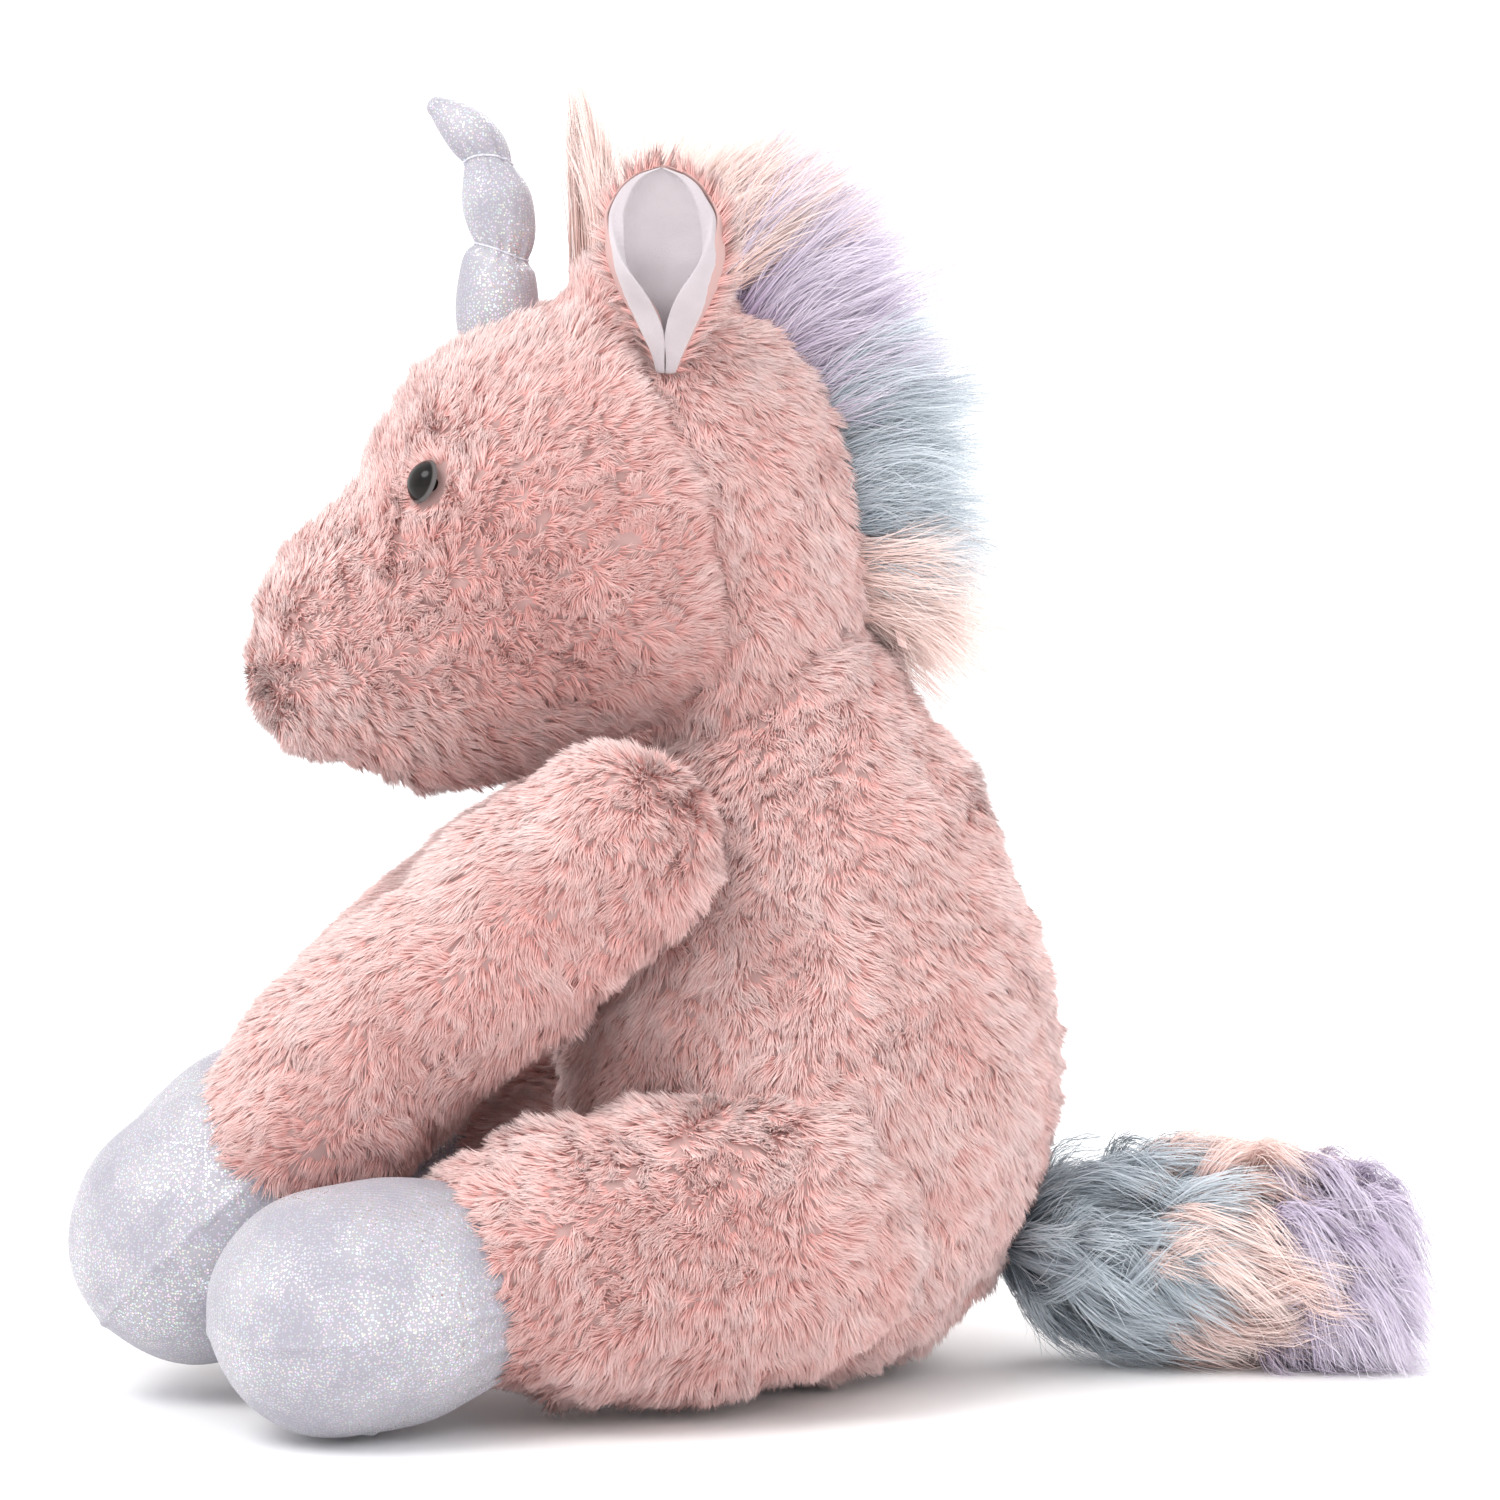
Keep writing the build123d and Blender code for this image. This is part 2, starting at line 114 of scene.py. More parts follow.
# ---- camera, floor and light ---------------------------------------------------------------------
def aim(obj, target):
    """Turns an object's -Z axis towards a point."""
    obj.rotation_euler = (Vector(target) - obj.location).to_track_quat("-Z", "Y").to_euler()


def added(name, data):
    """A new object in the scene."""
    obj = bpy.data.objects.new(name, data)
    bpy.context.collection.objects.link(obj)
    return obj


FLOOR = 6.0             # half its width
LIGHTS = (              # name, place, width and power
    ("key", (0.9, -0.9, 1.5), 0.9, 15.0), ("fill", (1.3, 0.9, 0.9), 1.2, 4.0),
    ("rim", (-1.1, 0.5, 1.3), 1.0, 9.0),
)


def studio():
    """The camera, a pale floor and soft lights."""
    camera = added("camera", bpy.data.cameras.new("camera"))
    camera.location = (1.2, -0.025, 0.220)
    aim(camera, (0, -0.025, 0.155))
    camera.data.lens = 115.2
    camera.data.sensor_width = 36
    bpy.context.scene.camera = camera
    bpy.context.scene.view_settings.view_transform = "Standard"

    corners = [(-FLOOR, -FLOOR, 0), (FLOOR, -FLOOR, 0), (FLOOR, FLOOR, 0), (-FLOOR, FLOOR, 0)]
    floor = mesh_object("floor", Form(corners, [(0, 1, 2), (0, 2, 3)]))
    paper = Shader("floor_paper", Base_Color=(0.93, 0.93, 0.935, 1), Roughness=0.9)
    floor.data.materials.append(paper.material)

    world = bpy.data.worlds.new("studio")
    world.use_nodes = True
    sky = world.node_tree.nodes["Background"].inputs
    sky["Color"].default_value = WHITE
    sky["Strength"].default_value = 1.35
    bpy.context.scene.world = world
    for name, place, width, power in LIGHTS:
        light = added(name, bpy.data.lights.new(name, "AREA"))
        light.data.shape = "DISK"
        light.data.size = width
        light.data.energy = power
        light.location = place
        aim(light, (0, -0.02, 0.15))


# ---- meshes --------------------------------------------------------------------------------------
class Form:
    """A mesh as arrays: points (n, 3) and triangles (m, 3)."""

    def __init__(self, points, triangles):
        self.points = np.asarray(points, float)
        self.triangles = np.asarray(triangles, np.int64)

    def corners(self):
        return self.points[self.triangles]

    def face_normals(self):
        a, b, c = np.moveaxis(self.corners(), 1, 0)
        return np.cross(b - a, c - a)

    def normals(self):
        """Smooth normals at the points."""
        total = np.zeros_like(self.points)
        area = self.face_normals()
        for k in range(3):
            np.add.at(total, self.triangles[:, k], area)
        return unit(total)

    def keep(self, faces):
        """The form with only these faces."""
        used, index = np.unique(self.triangles[faces], return_inverse=True)
        return Form(self.points[used], index.reshape(-1, 3))

    def centres(self):
        return self.corners().mean(axis=1)

    def swollen(self, amount):
        """The form grown outwards by an amount, which may differ from point to point."""
        return Form(self.points + self.normals() * np.reshape(amount, (-1, 1)), self.triangles)


def smooth_curve(at, values, where):
    """Values between stations on a cubic that doesn't overshoot."""
    at, values = np.asarray(at, float), np.asarray(values, float)
    if len(at) == 2:
        return np.interp(where, at, values)
    gap = np.diff(at)
    slope = np.diff(values) / gap
    tilt = np.zeros(len(at))
    tilt[1:-1] = np.where(slope[1:] * slope[:-1] > 0,
                          2 * slope[1:] * slope[:-1] / (slope[1:] + slope[:-1] + 1e-30), 0)
    tilt[0], tilt[-1] = slope[0], slope[-1]
    k = np.clip(np.searchsorted(at, where, side="right") - 1, 0, len(at) - 2)
    t = (where - at[k]) / gap[k]
    return ((2 * t ** 3 - 3 * t ** 2 + 1) * values[k] + (t ** 3 - 2 * t ** 2 + t) * gap[k] * tilt[k]
            + (3 * t ** 2 - 2 * t ** 3) * values[k + 1] + (t ** 3 - t ** 2) * gap[k] * tilt[k + 1])


def ring_edges(count, around):
    """The ends of every edge that runs along a ring, as the numbers of their points."""
    ring, place = np.meshgrid(np.arange(count), np.arange(around), indexing="ij")
    return (ring * around + place).ravel(), (ring * around + (place + 1) % around).ravel()


def lofted(rings):
    """A closed form from rings of points, (count, around, 3), which run from one end to the other."""
    count, around = rings.shape[:2]
    points = np.concatenate([rings.reshape(-1, 3), rings[:1].mean(axis=1), rings[-1:].mean(axis=1)])
    a, b = ring_edges(count - 1, around)
    tips = np.arange(around)
    after = (tips + 1) % around
    top = (count - 1) * around
    triangles = [
        np.stack([a, b, b + around], 1), np.stack([a, b + around, a + around], 1),
        np.stack([np.full(around, count * around), after, tips], 1),
        np.stack([np.full(around, count * around + 1), top + tips, top + after], 1),
    ]
    return Form(points, np.concatenate(triangles))


def tube(path, side_radii, up_radii, rings=72, around=72, first_cap=1.0, last_cap=1.0, across=(1, 0, 0),
         facing=None):
    """A closed stuffed tube along a path, with an elliptical section and round ends. A cap's value
    is its depth as a share of the end radius. Its rings all face one way if facing is given."""
    path = np.asarray(path, float)
    steps = np.r_[0, np.cumsum(away(np.diff(path, axis=0)))]
    even = np.linspace(0, steps[-1], rings)
    centre = np.stack([smooth_curve(steps, path[:, k], even) for k in range(3)], axis=1)
    wide = smooth_curve(steps, np.asarray(side_radii, float), even)
    tall = smooth_curve(steps, np.asarray(up_radii, float), even)
    tangent = unit(np.gradient(centre, axis=0))
    if facing is not None:
        tangent[:] = facing

    def cap(end, depth, angles):
        return [(centre[end] + tangent[end] * wide[end] * depth * math.sin(a), tangent[end],
                 wide[end] * math.cos(a), tall[end] * math.cos(a)) for a in angles]

    quarter = np.linspace(0, math.pi / 2, 14)[1:]
    stations = cap(0, -first_cap, quarter[::-1]) + list(zip(centre, tangent, wide, tall)) \
        + cap(-1, last_cap, quarter)
    turn = circle(around)
    loops = []
    for place, along, side_radius, up_radius in stations:
        right = unit(np.asarray(across, float) - along * np.dot(across, along))
        above = np.cross(along, right)
        loops.append(place + between(right * max(side_radius, 1e-5), above * max(up_radius, 1e-5), turn))
    return lofted(np.array(loops))


def mesh_object(name, form, coordinates=None, normals=None):
    """A Blender object from a form, with a UV layer and its own normals if they are given."""
    mesh = bpy.data.meshes.new(name)
    count = len(form.triangles)
    mesh.vertices.add(len(form.points))
    mesh.vertices.foreach_set("co", form.points.astype(np.float32).ravel())
    mesh.loops.add(3 * count)
    mesh.loops.foreach_set("vertex_index", form.triangles.astype(np.int32).ravel())
    mesh.polygons.add(count)
    mesh.polygons.foreach_set("loop_start", np.arange(0, 3 * count, 3, dtype=np.int32))
    mesh.polygons.foreach_set("use_smooth", np.full(count, True))
    mesh.update(calc_edges=True)
    if coordinates is not None:
        layer = mesh.uv_layers.new(name="OFBake")
        layer.data.foreach_set("uv", coordinates[form.triangles.ravel()].astype(np.float32).ravel())
    if normals is not None:
        own = mesh.attributes.new("custom_normal", "FLOAT_VECTOR", "POINT")
        own.data.foreach_set("vector", normals.astype(np.float32).ravel())
    return added(name, mesh)


def joined(forms):
    """Several forms in one."""
    starts = np.cumsum([0] + [len(form.points) for form in forms])
    return Form(np.concatenate([form.points for form in forms]),
                np.concatenate([form.triangles + start for form, start in zip(forms, starts)]))


def fused(forms, voxel, smoothing):
    """Forms grown into one skin, with the creases between them eased."""
    obj = mesh_object("fusing", joined(forms))
    remesh = obj.modifiers.new("remesh", "REMESH")
    remesh.mode = "VOXEL"
    remesh.voxel_size = voxel
    ease = obj.modifiers.new("ease", "SMOOTH")
    ease.factor = 0.5
    ease.iterations = smoothing
    graph = bpy.context.evaluated_depsgraph_get()
    mesh = bpy.data.meshes.new_from_object(obj.evaluated_get(graph))
    mesh.calc_loop_triangles()
    points = np.zeros(3 * len(mesh.vertices), np.float32)
    mesh.vertices.foreach_get("co", points)
    triangles = np.zeros(3 * len(mesh.loop_triangles), np.int32)
    mesh.loop_triangles.foreach_get("vertices", triangles)
    bpy.data.objects.remove(obj)
    bpy.data.meshes.remove(mesh)
    return Form(points.reshape(-1, 3), triangles.reshape(-1, 3))


# ---- materials -----------------------------------------------------------------------------------
EYE_EDGE = 5.6 * MM     # radius of the part of an eye that stands clear of the fur


def linear(*colour):
    """A colour from 0 to 255 as the renderer's own values."""
    shares = [c / 255 for c in colour]
    return [s / 12.92 if s <= 0.04045 else ((s + 0.055) / 1.055) ** 2.4 for s in shares] + [1.0]


class Shader:
    """A material, with short ways to add nodes to it."""

    def __init__(self, name, **sockets):
        self.material = bpy.data.materials.new(name)
        self.material.use_nodes = True
        self.tree = self.material.node_tree
        self.bsdf = self.tree.nodes["Principled BSDF"]
        for socket, value in sockets.items():
            self.bsdf.inputs[socket.replace("_", " ")].default_value = value

    def node(self, kind, inputs=None, **settings):
        """A new node. An input is a value or another node's output."""
        made = self.tree.nodes.new("ShaderNode" + kind)
        for key, value in settings.items():
            setattr(made, key, value)
        for key, value in (inputs or {}).items():
            if isinstance(value, bpy.types.NodeSocket):
                self.tree.links.new(value, made.inputs[key])
            else:
                made.inputs[key].default_value = value
        return made

    def ramp(self, value, *stops):
        """A colour ramp with these (place, colour) stops."""
        made = self.node("ValToRGB", {0: value})
        elements = made.color_ramp.elements
        while len(elements) < len(stops):
            elements.new(0.5)
        for element, (place, colour) in zip(elements, stops):
            element.position = place
            element.color = colour
        return made.outputs["Color"]

    def mixed(self, share, first, second):
        """One colour over another."""
        return self.node("Mix", {0: share, 6: first, 7: second}, data_type="RGBA").outputs[2]

    def math(self, operation, first, second, kind="Math"):
        return self.node(kind, {0: first, 1: second}, operation=operation).outputs[0]

    def vector(self, operation, first, second):
        return self.math(operation, first, second, "VectorMath")

    def noise(self, scale, detail=2.0):
        return self.node("TexNoise", {"Vector": self.places(), "Scale": scale, "Detail": detail}).outputs[0]

    def emboss(self, height, strength, depth):
        """Gives the surface a fine relief."""
        self.give("Normal", self.relief(height, strength, depth))

    def relief(self, height, strength, depth):
        return self.node("Bump", {"Height": height, "Strength": strength, "Distance": depth}).outputs[0]

    def places(self):
        """Coordinates that stay with the piece, in metres."""
        return self.node("TexCoord").outputs["Object"]

    def give(self, socket, value):
        self.tree.links.new(value, self.bsdf.inputs[socket])


def fur_material(name, deep, light, lift=0.5):
    """Strands: deep at the root and light at the tip, over a backing painted darker and greyer as the shade
    between the strands, which reaches into their roots. The UV layer holds the tone and the place along the
    strand, which is 0 on the backing."""
    shader = Shader(name, Roughness=0.9, Specular_IOR_Level=0.15)
    place = shader.node("SeparateXYZ", {0: shader.node("UVMap", uv_map="OFBake").outputs[0]})
    tone, along = place.outputs[0], place.outputs[1]
    middle = [(a + b) / 2 for a, b in zip(deep, light)]
    # painted shade: the backing colour is darker and greyer than the fur, standing for the shade deep in the
    # pile
    painted_shade_ground = [0.60 * c + 0.33 * sum(deep) / 3 for c in deep]
    stops = (([0.93 * c for c in painted_shade_ground], [0.97 * c for c in deep], deep, middle),
             (painted_shade_ground, deep, middle, light))
    dark, pale = (shader.ramp(along, *[(at, linear(*c)) for at, c in zip((0.0, 0.05, lift, 1.0), row)])
                  for row in stops)
    shader.give("Base Color", shader.mixed(tone, dark, pale))
    return shader.material


def sparkle_cloth():
    """Silver-lilac knit with a film of fine iridescent dots."""
    shader = Shader("sparkle_cloth", Specular_IOR_Level=0.6, Sheen_Weight=0.15)
    places = shader.places()
    cells = shader.node("TexVoronoi", {"Vector": places, "Scale": 1500.0, "Randomness": 0.75})
    colour, distance = cells.outputs["Color"], cells.outputs["Distance"]
    dot = shader.math("LESS_THAN", distance, 0.36)
    parts = shader.node("SeparateXYZ", {0: colour})
    patch = shader.ramp(shader.noise(60.0, 3.0), (0.38, BLACK), (0.62, WHITE))
    film = shader.math("MULTIPLY", dot, shader.math("ADD", shader.math("MULTIPLY", patch, 0.7), 0.3))
    rainbow = shader.node("CombineColor", {0: parts.outputs[0], 1: 0.28, 2: 1.0}, mode="HSV").outputs[0]
    cloth = shader.mixed(patch, linear(152, 149, 160), linear(168, 165, 173))
    shader.give("Base Color", shader.mixed(shader.math("MULTIPLY", film, 0.75), cloth, rainbow))
    shader.give("Metallic", shader.math("MULTIPLY", film, 0.85))
    shader.give("Roughness", shader.math("SUBTRACT", 0.62, shader.math("MULTIPLY", film, 0.40)))
    tilt = shader.node("VectorMath", {0: shader.vector("SUBTRACT", colour, (0.5, 0.5, 0.5)),
                                      "Scale": shader.math("MULTIPLY", film, 0.75)}, operation="SCALE")
    knit = shader.node("TexWave", {"Vector": places, "Scale": 260.0, "Distortion": 0.6, "Detail": 1.0})
    flaked = shader.vector("ADD", shader.relief(knit.outputs[1], 0.25, 0.2 * MM), tilt.outputs[0])
    shader.give("Normal", shader.node("VectorMath", {0: flaked}, operation="NORMALIZE").outputs[0])
    return shader.material


def velboa():
    """Short white plush with a faint nap."""
    shader = Shader("white_velboa", Roughness=0.9, Specular_IOR_Level=0.2, Sheen_Weight=0.5)
    shader.give("Base Color", shader.ramp(shader.noise(60.0, 3.0), (0.3, linear(178, 169, 173)),
                                          (0.7, linear(194, 186, 190))))
    shader.emboss(shader.noise(2600.0), 0.5, 0.3 * MM)
    return shader.material


def grainy(name, low, high, scale, roughness=0.85, depth=0.4 * MM, **sockets):
    """A two-tone material with a fine random relief, for the inner pieces."""
    shader = Shader(name, Roughness=roughness, **sockets)
    noise = shader.noise(scale, 5.0)
    shader.give("Base Color", shader.ramp(noise, (0.35, linear(*low)), (0.65, linear(*high))))
    shader.emboss(noise, 0.5, depth)
    return shader.material


def eye_plastic(name, centre, axis):
    """Glossy black-brown plastic with a grey ring painted round the dome's edge as a reflection."""
    shader = Shader(name, Roughness=0.16, Specular_IOR_Level=0.22)
    cross = shader.vector("CROSS_PRODUCT", shader.vector("SUBTRACT", shader.places(), centre), axis)
    radius = shader.node("VectorMath", {0: cross}, operation="LENGTH").outputs["Value"]
    core = shader.ramp(shader.noise(500.0), (0.3, linear(8, 6, 6)), (0.7, linear(24, 17, 15)))
    # painted reflection: a grey ring near the dome's edge stands for the light its glossy edge reflects
    rim = shader.ramp(shader.math("DIVIDE", radius, EYE_EDGE), (0.88, BLACK), (0.93, WHITE))
    shader.give("Base Color", shader.mixed(rim, core, linear(88, 84, 84)))
    return shader.material


# ---- fur -----------------------------------------------------------------------------------------
PILE = 4.5 * MM         # how far the fur stands over its backing
STRAND = 0.50 * MM      # width of a strand at its root
SPIKE = (math.radians(90), math.radians(210), math.radians(330))    # its three edges
LOWEST = 0.3 * MM       # nothing reaches lower than this over the floor
PER_CLUMP = 7           # strands
TUFT = 1.0 * MM         # radius of a clump at its root


def scattered(skin, spacing, dice):
    """Random places on a skin, one for each square of this spacing, with their normals."""
    area = away(skin.face_normals()) / 2
    count = int(area.sum() / spacing ** 2)
    face = np.searchsorted(np.cumsum(area), dice.uniform(0, area.sum(), count))
    face = np.minimum(face, len(area) - 1)
    a, b = dice.uniform(size=(2, count))
    a, b = np.where(a + b > 1, 1 - a, a), np.where(a + b > 1, 1 - b, b)
    shares = np.stack([1 - a - b, a, b], axis=1)[:, :, None]
    corners = skin.triangles[face]
    return (skin.points[corners] * shares).sum(axis=1), unit((skin.normals()[corners] * shares).sum(axis=1))


def strands(places, normals, style, seed):
    """Short strands in clumps: three-sided spikes, with the coordinates and normals of their points.
    A style gives each clump's direction, swirl, lean, length and tone, and whether it is there."""
    dice = np.random.default_rng(seed)
    *looks, kept = style(places, normals)
    places, normals, way, swirl, lean, length, tone = (a[kept] for a in (places, normals, *looks))
    count = len(places)

    flat = unit(way - normals * (way * normals).sum(axis=1, keepdims=True))
    aside = np.cross(normals, flat)
    clump_tip = places + between(normals, between(flat, aside, swirl), lean) * length[:, None]
    places, normals, flat, aside, clump_tip = (a[:, None] for a in (places, normals, flat, aside, clump_tip))

    shape = (count, PER_CLUMP)
    turn = swirl[:, None] + dice.normal(0, 0.28, shape)
    tilt = lean[:, None] + dice.normal(0, 0.14, shape)
    reach = length[:, None] * dice.uniform(0.72, 1.12, shape)
    angle = dice.uniform(0, TURN, shape)
    offset = between(flat, aside, angle) * (TUFT * np.sqrt(dice.uniform(size=shape)))[..., None]
    root = places + offset - normals * 0.4 * MM
    tip = root + between(normals, between(flat, aside, turn), tilt) * reach[..., None]
    pull = dice.uniform(0.2, 0.6, shape)[..., None]
    tip = tip * (1 - pull) + clump_tip * pull
    line = unit(tip - root)
    side = unit(np.cross(line, normals + dice.normal(0, 0.35, shape + (3,))))
    edges = [between(side, np.cross(side, line), np.array(a)) for a in SPIKE]
    points = np.stack([root + edge * STRAND * 0.58 for edge in edges] + [tip], axis=2).reshape(-1, 3)
    points[:, 2] = np.maximum(points[:, 2], LOWEST)
    spike = np.array([[1, 0, 3], [2, 1, 3], [0, 2, 3]])
    triangles = (np.arange(count * PER_CLUMP)[:, None, None] * 4 + spike).reshape(-1, 3)

    tuft = unit(normals + offset / TUFT * 0.30 + dice.normal(0, 0.10, shape + (3,)))
    own = unit(tuft[:, :, None] * 0.35 + np.stack(edges + [line * 0], axis=2)).reshape(-1, 3)
    shade = np.clip(tone[:, None] + dice.normal(0, 0.07, shape), 0.02, 0.98).ravel()
    coordinates = np.empty((count * PER_CLUMP, 4, 2))
    coordinates[:, :, 0] = shade[:, None] + np.array([-1, 0, 1, 0]) * 0.008
    coordinates[:, :, 1] = np.array([0.02, 0.02, 0.02, 0.98])
    return Form(points, triangles), coordinates.reshape(-1, 2), own


lump = Ripples(34 * MM, 5)
dimple = Ripples(13 * MM, 6)
patch = Ripples(26 * MM, 7)
parting = Ripples(24 * MM, 8)
curl = Ripples(9 * MM, 9)


def stuffed(skin, lumps=0.7, dimples=0.25):
    """A skin with the gentle unevenness of its stuffing."""
    return skin.swollen((lump(skin.points) * lumps + dimple(skin.points) * dimples) * MM)


def furry(name, skin, style, seed, spacing=1.4 * MM):
    """A piece of fur fabric: its backing, which may be part of a larger skin, and the strands on it."""
    dice = np.random.default_rng(seed)
    places, normals = scattered(skin, spacing, dice)
    blades, coordinates, own = strands(places, normals, style, seed + 1)
    # the backing sits at 0 along the strands, so it shows the painted shade between them
    painted_shade_ground = columns(np.clip(0.3 + 0.15 * patch(skin.points), 0.02, 0.95), 0)
    return mesh_object(name, joined([skin, blades]), np.concatenate([painted_shade_ground, coordinates]),
                       np.concatenate([skin.normals(), own]))


def finished(obj, material, body, node, fill=None):
    """Gives a piece its material, hangs it on the body it rides on and hides the CAD node it stands for. The
    fill, what it is made of, is not used.
    """
    obj.data.materials.append(material)
    if body:
        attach(obj, body)
    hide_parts(node)


def plain(name, form, *facts):
    """A piece of one smooth surface, finished with these facts."""
    finished(mesh_object(name, form), *facts)


def panels(skin, parts, style, seed, body, fill):
    """The fur panels that are cut from one skin: a name and its faces for each."""
    for k, (name, part) in enumerate(parts):
        finished(furry(f"{name}_fur", skin.keep(part), style, seed + k), pink, body, name, fill)


# ---- torso and limbs -----------------------------------------------------------------------------
TORSO = (               # height, middle, half width and half depth, over the fur
    (2, -18, 45, 30), (10, -17, 55, 40), (24, -14, 64, 50), (45, -11, 68, 60), (72, -10, 68, 65.5),
    (100, -11, 63, 62), (125, -11, 55, 54), (145, -11, 47, 45), (160, -10, 40, 36), (172, -12, 34, 28),
)
ARM_SHAPE = ((0.0, 1, 28), (0.28, 4, 29), (0.58, 5, 30), (0.80, 1, 28.5))   # place, lift and radius
LEG_SHAPE = ((0.0, 0, 38), (0.25, 1, 38), (0.46, 2, 36), (0.64, 2, 31.5), (0.70, 1, 29.5))
HOOF_SIZE = {"arm": (32, 46, 31, 31.5), "leg": (32.5, 50, 31, 29)}     # front, back, across and upright
HIP = ((33, -64, 38), (60, 18, 45), (63, -35, 78))      # places where the left leg's skin begins
HOOF_RADIUS = 30 * MM
HOOF_SEAM = -1.5 * MM   # height of the level seam over a hoof's middle
CORE = PILE + 5 * MM    # how far a filling lies inside the fur's outer surface
VOXEL = 2.2 * MM        # grain of a skin that is fused from several forms


def torso_form(inset):
    """The torso as a stack of ellipses with a flat seat."""
    rows = np.array(TORSO, float) * MM
    path = columns(0, rows[:, 1], rows[:, 0])
    path[0, 2] += inset
    return tube(path, rows[:, 2] - inset, rows[:, 3] - inset, rings=80, first_cap=0.03, last_cap=0.5,
                facing=UP)


def limb_line(limb, side):
    """Where a limb turns, and the middle of its hoof."""
    (low_top, high_top), (low_sole, high_sole) = (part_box(f"{limb}_hoof_{part}_{side}")
                                                  for part in ("top", "sole"))
    low, high = np.minimum(low_top, low_sole), np.maximum(high_top, high_sole)
    outer = high[0] - HOOF_RADIUS if side == "left" else low[0] + HOOF_RADIUS
    if limb == "arm":
        outer = (low[0] + high[0]) / 2
    return (np.array(joints[f"{limb}_{side}_swing"]["pos_m"]),
            np.array([outer, low[1] + HOOF_RADIUS, low[2] + HOOF_RADIUS]))


def limb_axes(limb, side):
    """The start, direction, length, and the level and upright directions of a limb."""
    start, end = limb_line(limb, side)
    along = unit(end - start)
    across = unit(np.cross(along, UP))
    return start, along, np.linalg.norm(end - start), across, np.cross(across, along)


def limb_form(limb, side, shape, inset):
    """A limb's fur sleeve, or with more inset its filling."""
    start, along, length, across, upright = limb_axes(limb, side)
    rows = np.array(shape, float)
    path = [start + along * length * t + upright * lift * MM for t, lift, _ in rows]
    radii = rows[:, 2] * MM - inset
    return tube(path, radii, radii, rings=60, last_cap=0.35, across=across)


def hip_plane(side):
    """The plane where a leg's skin begins: a place on it and its direction, which is outwards."""
    sign = dict(SIDES)[side]
    inner, back, top = np.array(HIP, float) * [sign, 1, 1] * MM
    return inner, unit(np.cross(back - inner, top - inner)) * sign


def torso_style(places, normals):
    """Fur that falls down and back, with partings, smoother where it faces up and painted paler there as
    light from above.
    """
    up = ramp(normals[:, 2], 0.1, 0.8)
    way = np.array([0.0, 0.25, -1.0]) + normals * 0.2
    swirl = parting(places) * (0.34 - 0.1 * up) + curl(places) * 0.22
    lean = np.clip(0.98 + 0.14 * curl(places + 0.1) + 0.1 * up, 0.7, 1.25)
    length = (6.6 + 0.6 * patch(places)) * MM
    # painted light: the tone is raised where the fur faces up
    tone = 0.66 + 0.15 * patch(places) + 0.10 * curl(places) + 0.14 * up
    return way, swirl, lean, length, tone, np.ones(len(places), bool)


def leg_style(side):
    """Fur combed along the leg towards the hoof, which starts like the torso's."""
    start, along, *_ = limb_axes("leg", side)
    edge, outwards = hip_plane(side)

    def style(places, normals):
        up = ramp(normals[:, 2], 0.1, 0.8)
        far = ramp((places - edge) @ outwards, 0.0, 34 * MM)
        reach = ramp((places - start) @ along, 0.0, 50 * MM)[:, None]
        near_way, near_swirl, _, _, near_tone, kept = torso_style(places, normals)
        way = near_way * (1 - reach) + (along - 0.35 * UP) * reach
        swirl = parting(places) * (0.40 - 0.2 * up) + curl(places) * 0.34
        swirl = near_swirl * (1 - far) + swirl * far
        lean = np.clip(0.92 + 0.16 * curl(places + 0.1) + 0.15 * up, 0.6, 1.25)
        # painted light: the tone is raised where the fur faces up
        tone = 0.36 + 0.14 * patch(places) + 0.12 * curl(places) + 0.40 * up
        tone = near_tone * (1 - far) + tone * far
        return way, swirl, lean, (6.2 + 0.6 * patch(places)) * MM, tone, kept

    return style


def arm_style(side):
    """Fur combed along the arm, curlier below, with painted light making it pale on top and painted shade
    making it deeper below.
    """
    _, along, _, _, upright = limb_axes("arm", side)

    def style(places, normals):
        up = ramp(normals @ upright, -0.25, 0.75)
        way = np.tile(along * 0.7 - UP * 0.5, (len(places), 1))
        swirl = parting(places) * (0.45 - 0.3 * up) + curl(places) * (0.42 - 0.28 * up)
        lean = np.clip(0.92 + 0.16 * curl(places + 0.1) * (1 - 0.6 * up) + 0.2 * up, 0.6, 1.25)
        length = (6.0 + 0.6 * patch(places)) * MM
        # painted light and shade: the tone is raised on top and lowered underneath
        tone = 0.30 + 0.12 * patch(places) + 0.12 * curl(places) * (1 - up) + 0.52 * up
        return way, swirl, lean, length, tone, np.ones(len(places), bool)

    return style


SEAT_LOWEST = 0.8 * MM  # of the backing
SEAT_TOP = 7 * MM       # fur lower than this belongs to the seat panel
BELLY_HALF, BELLY_TOP, BELLY_BACK = 30 * MM, 152 * MM, -12 * MM


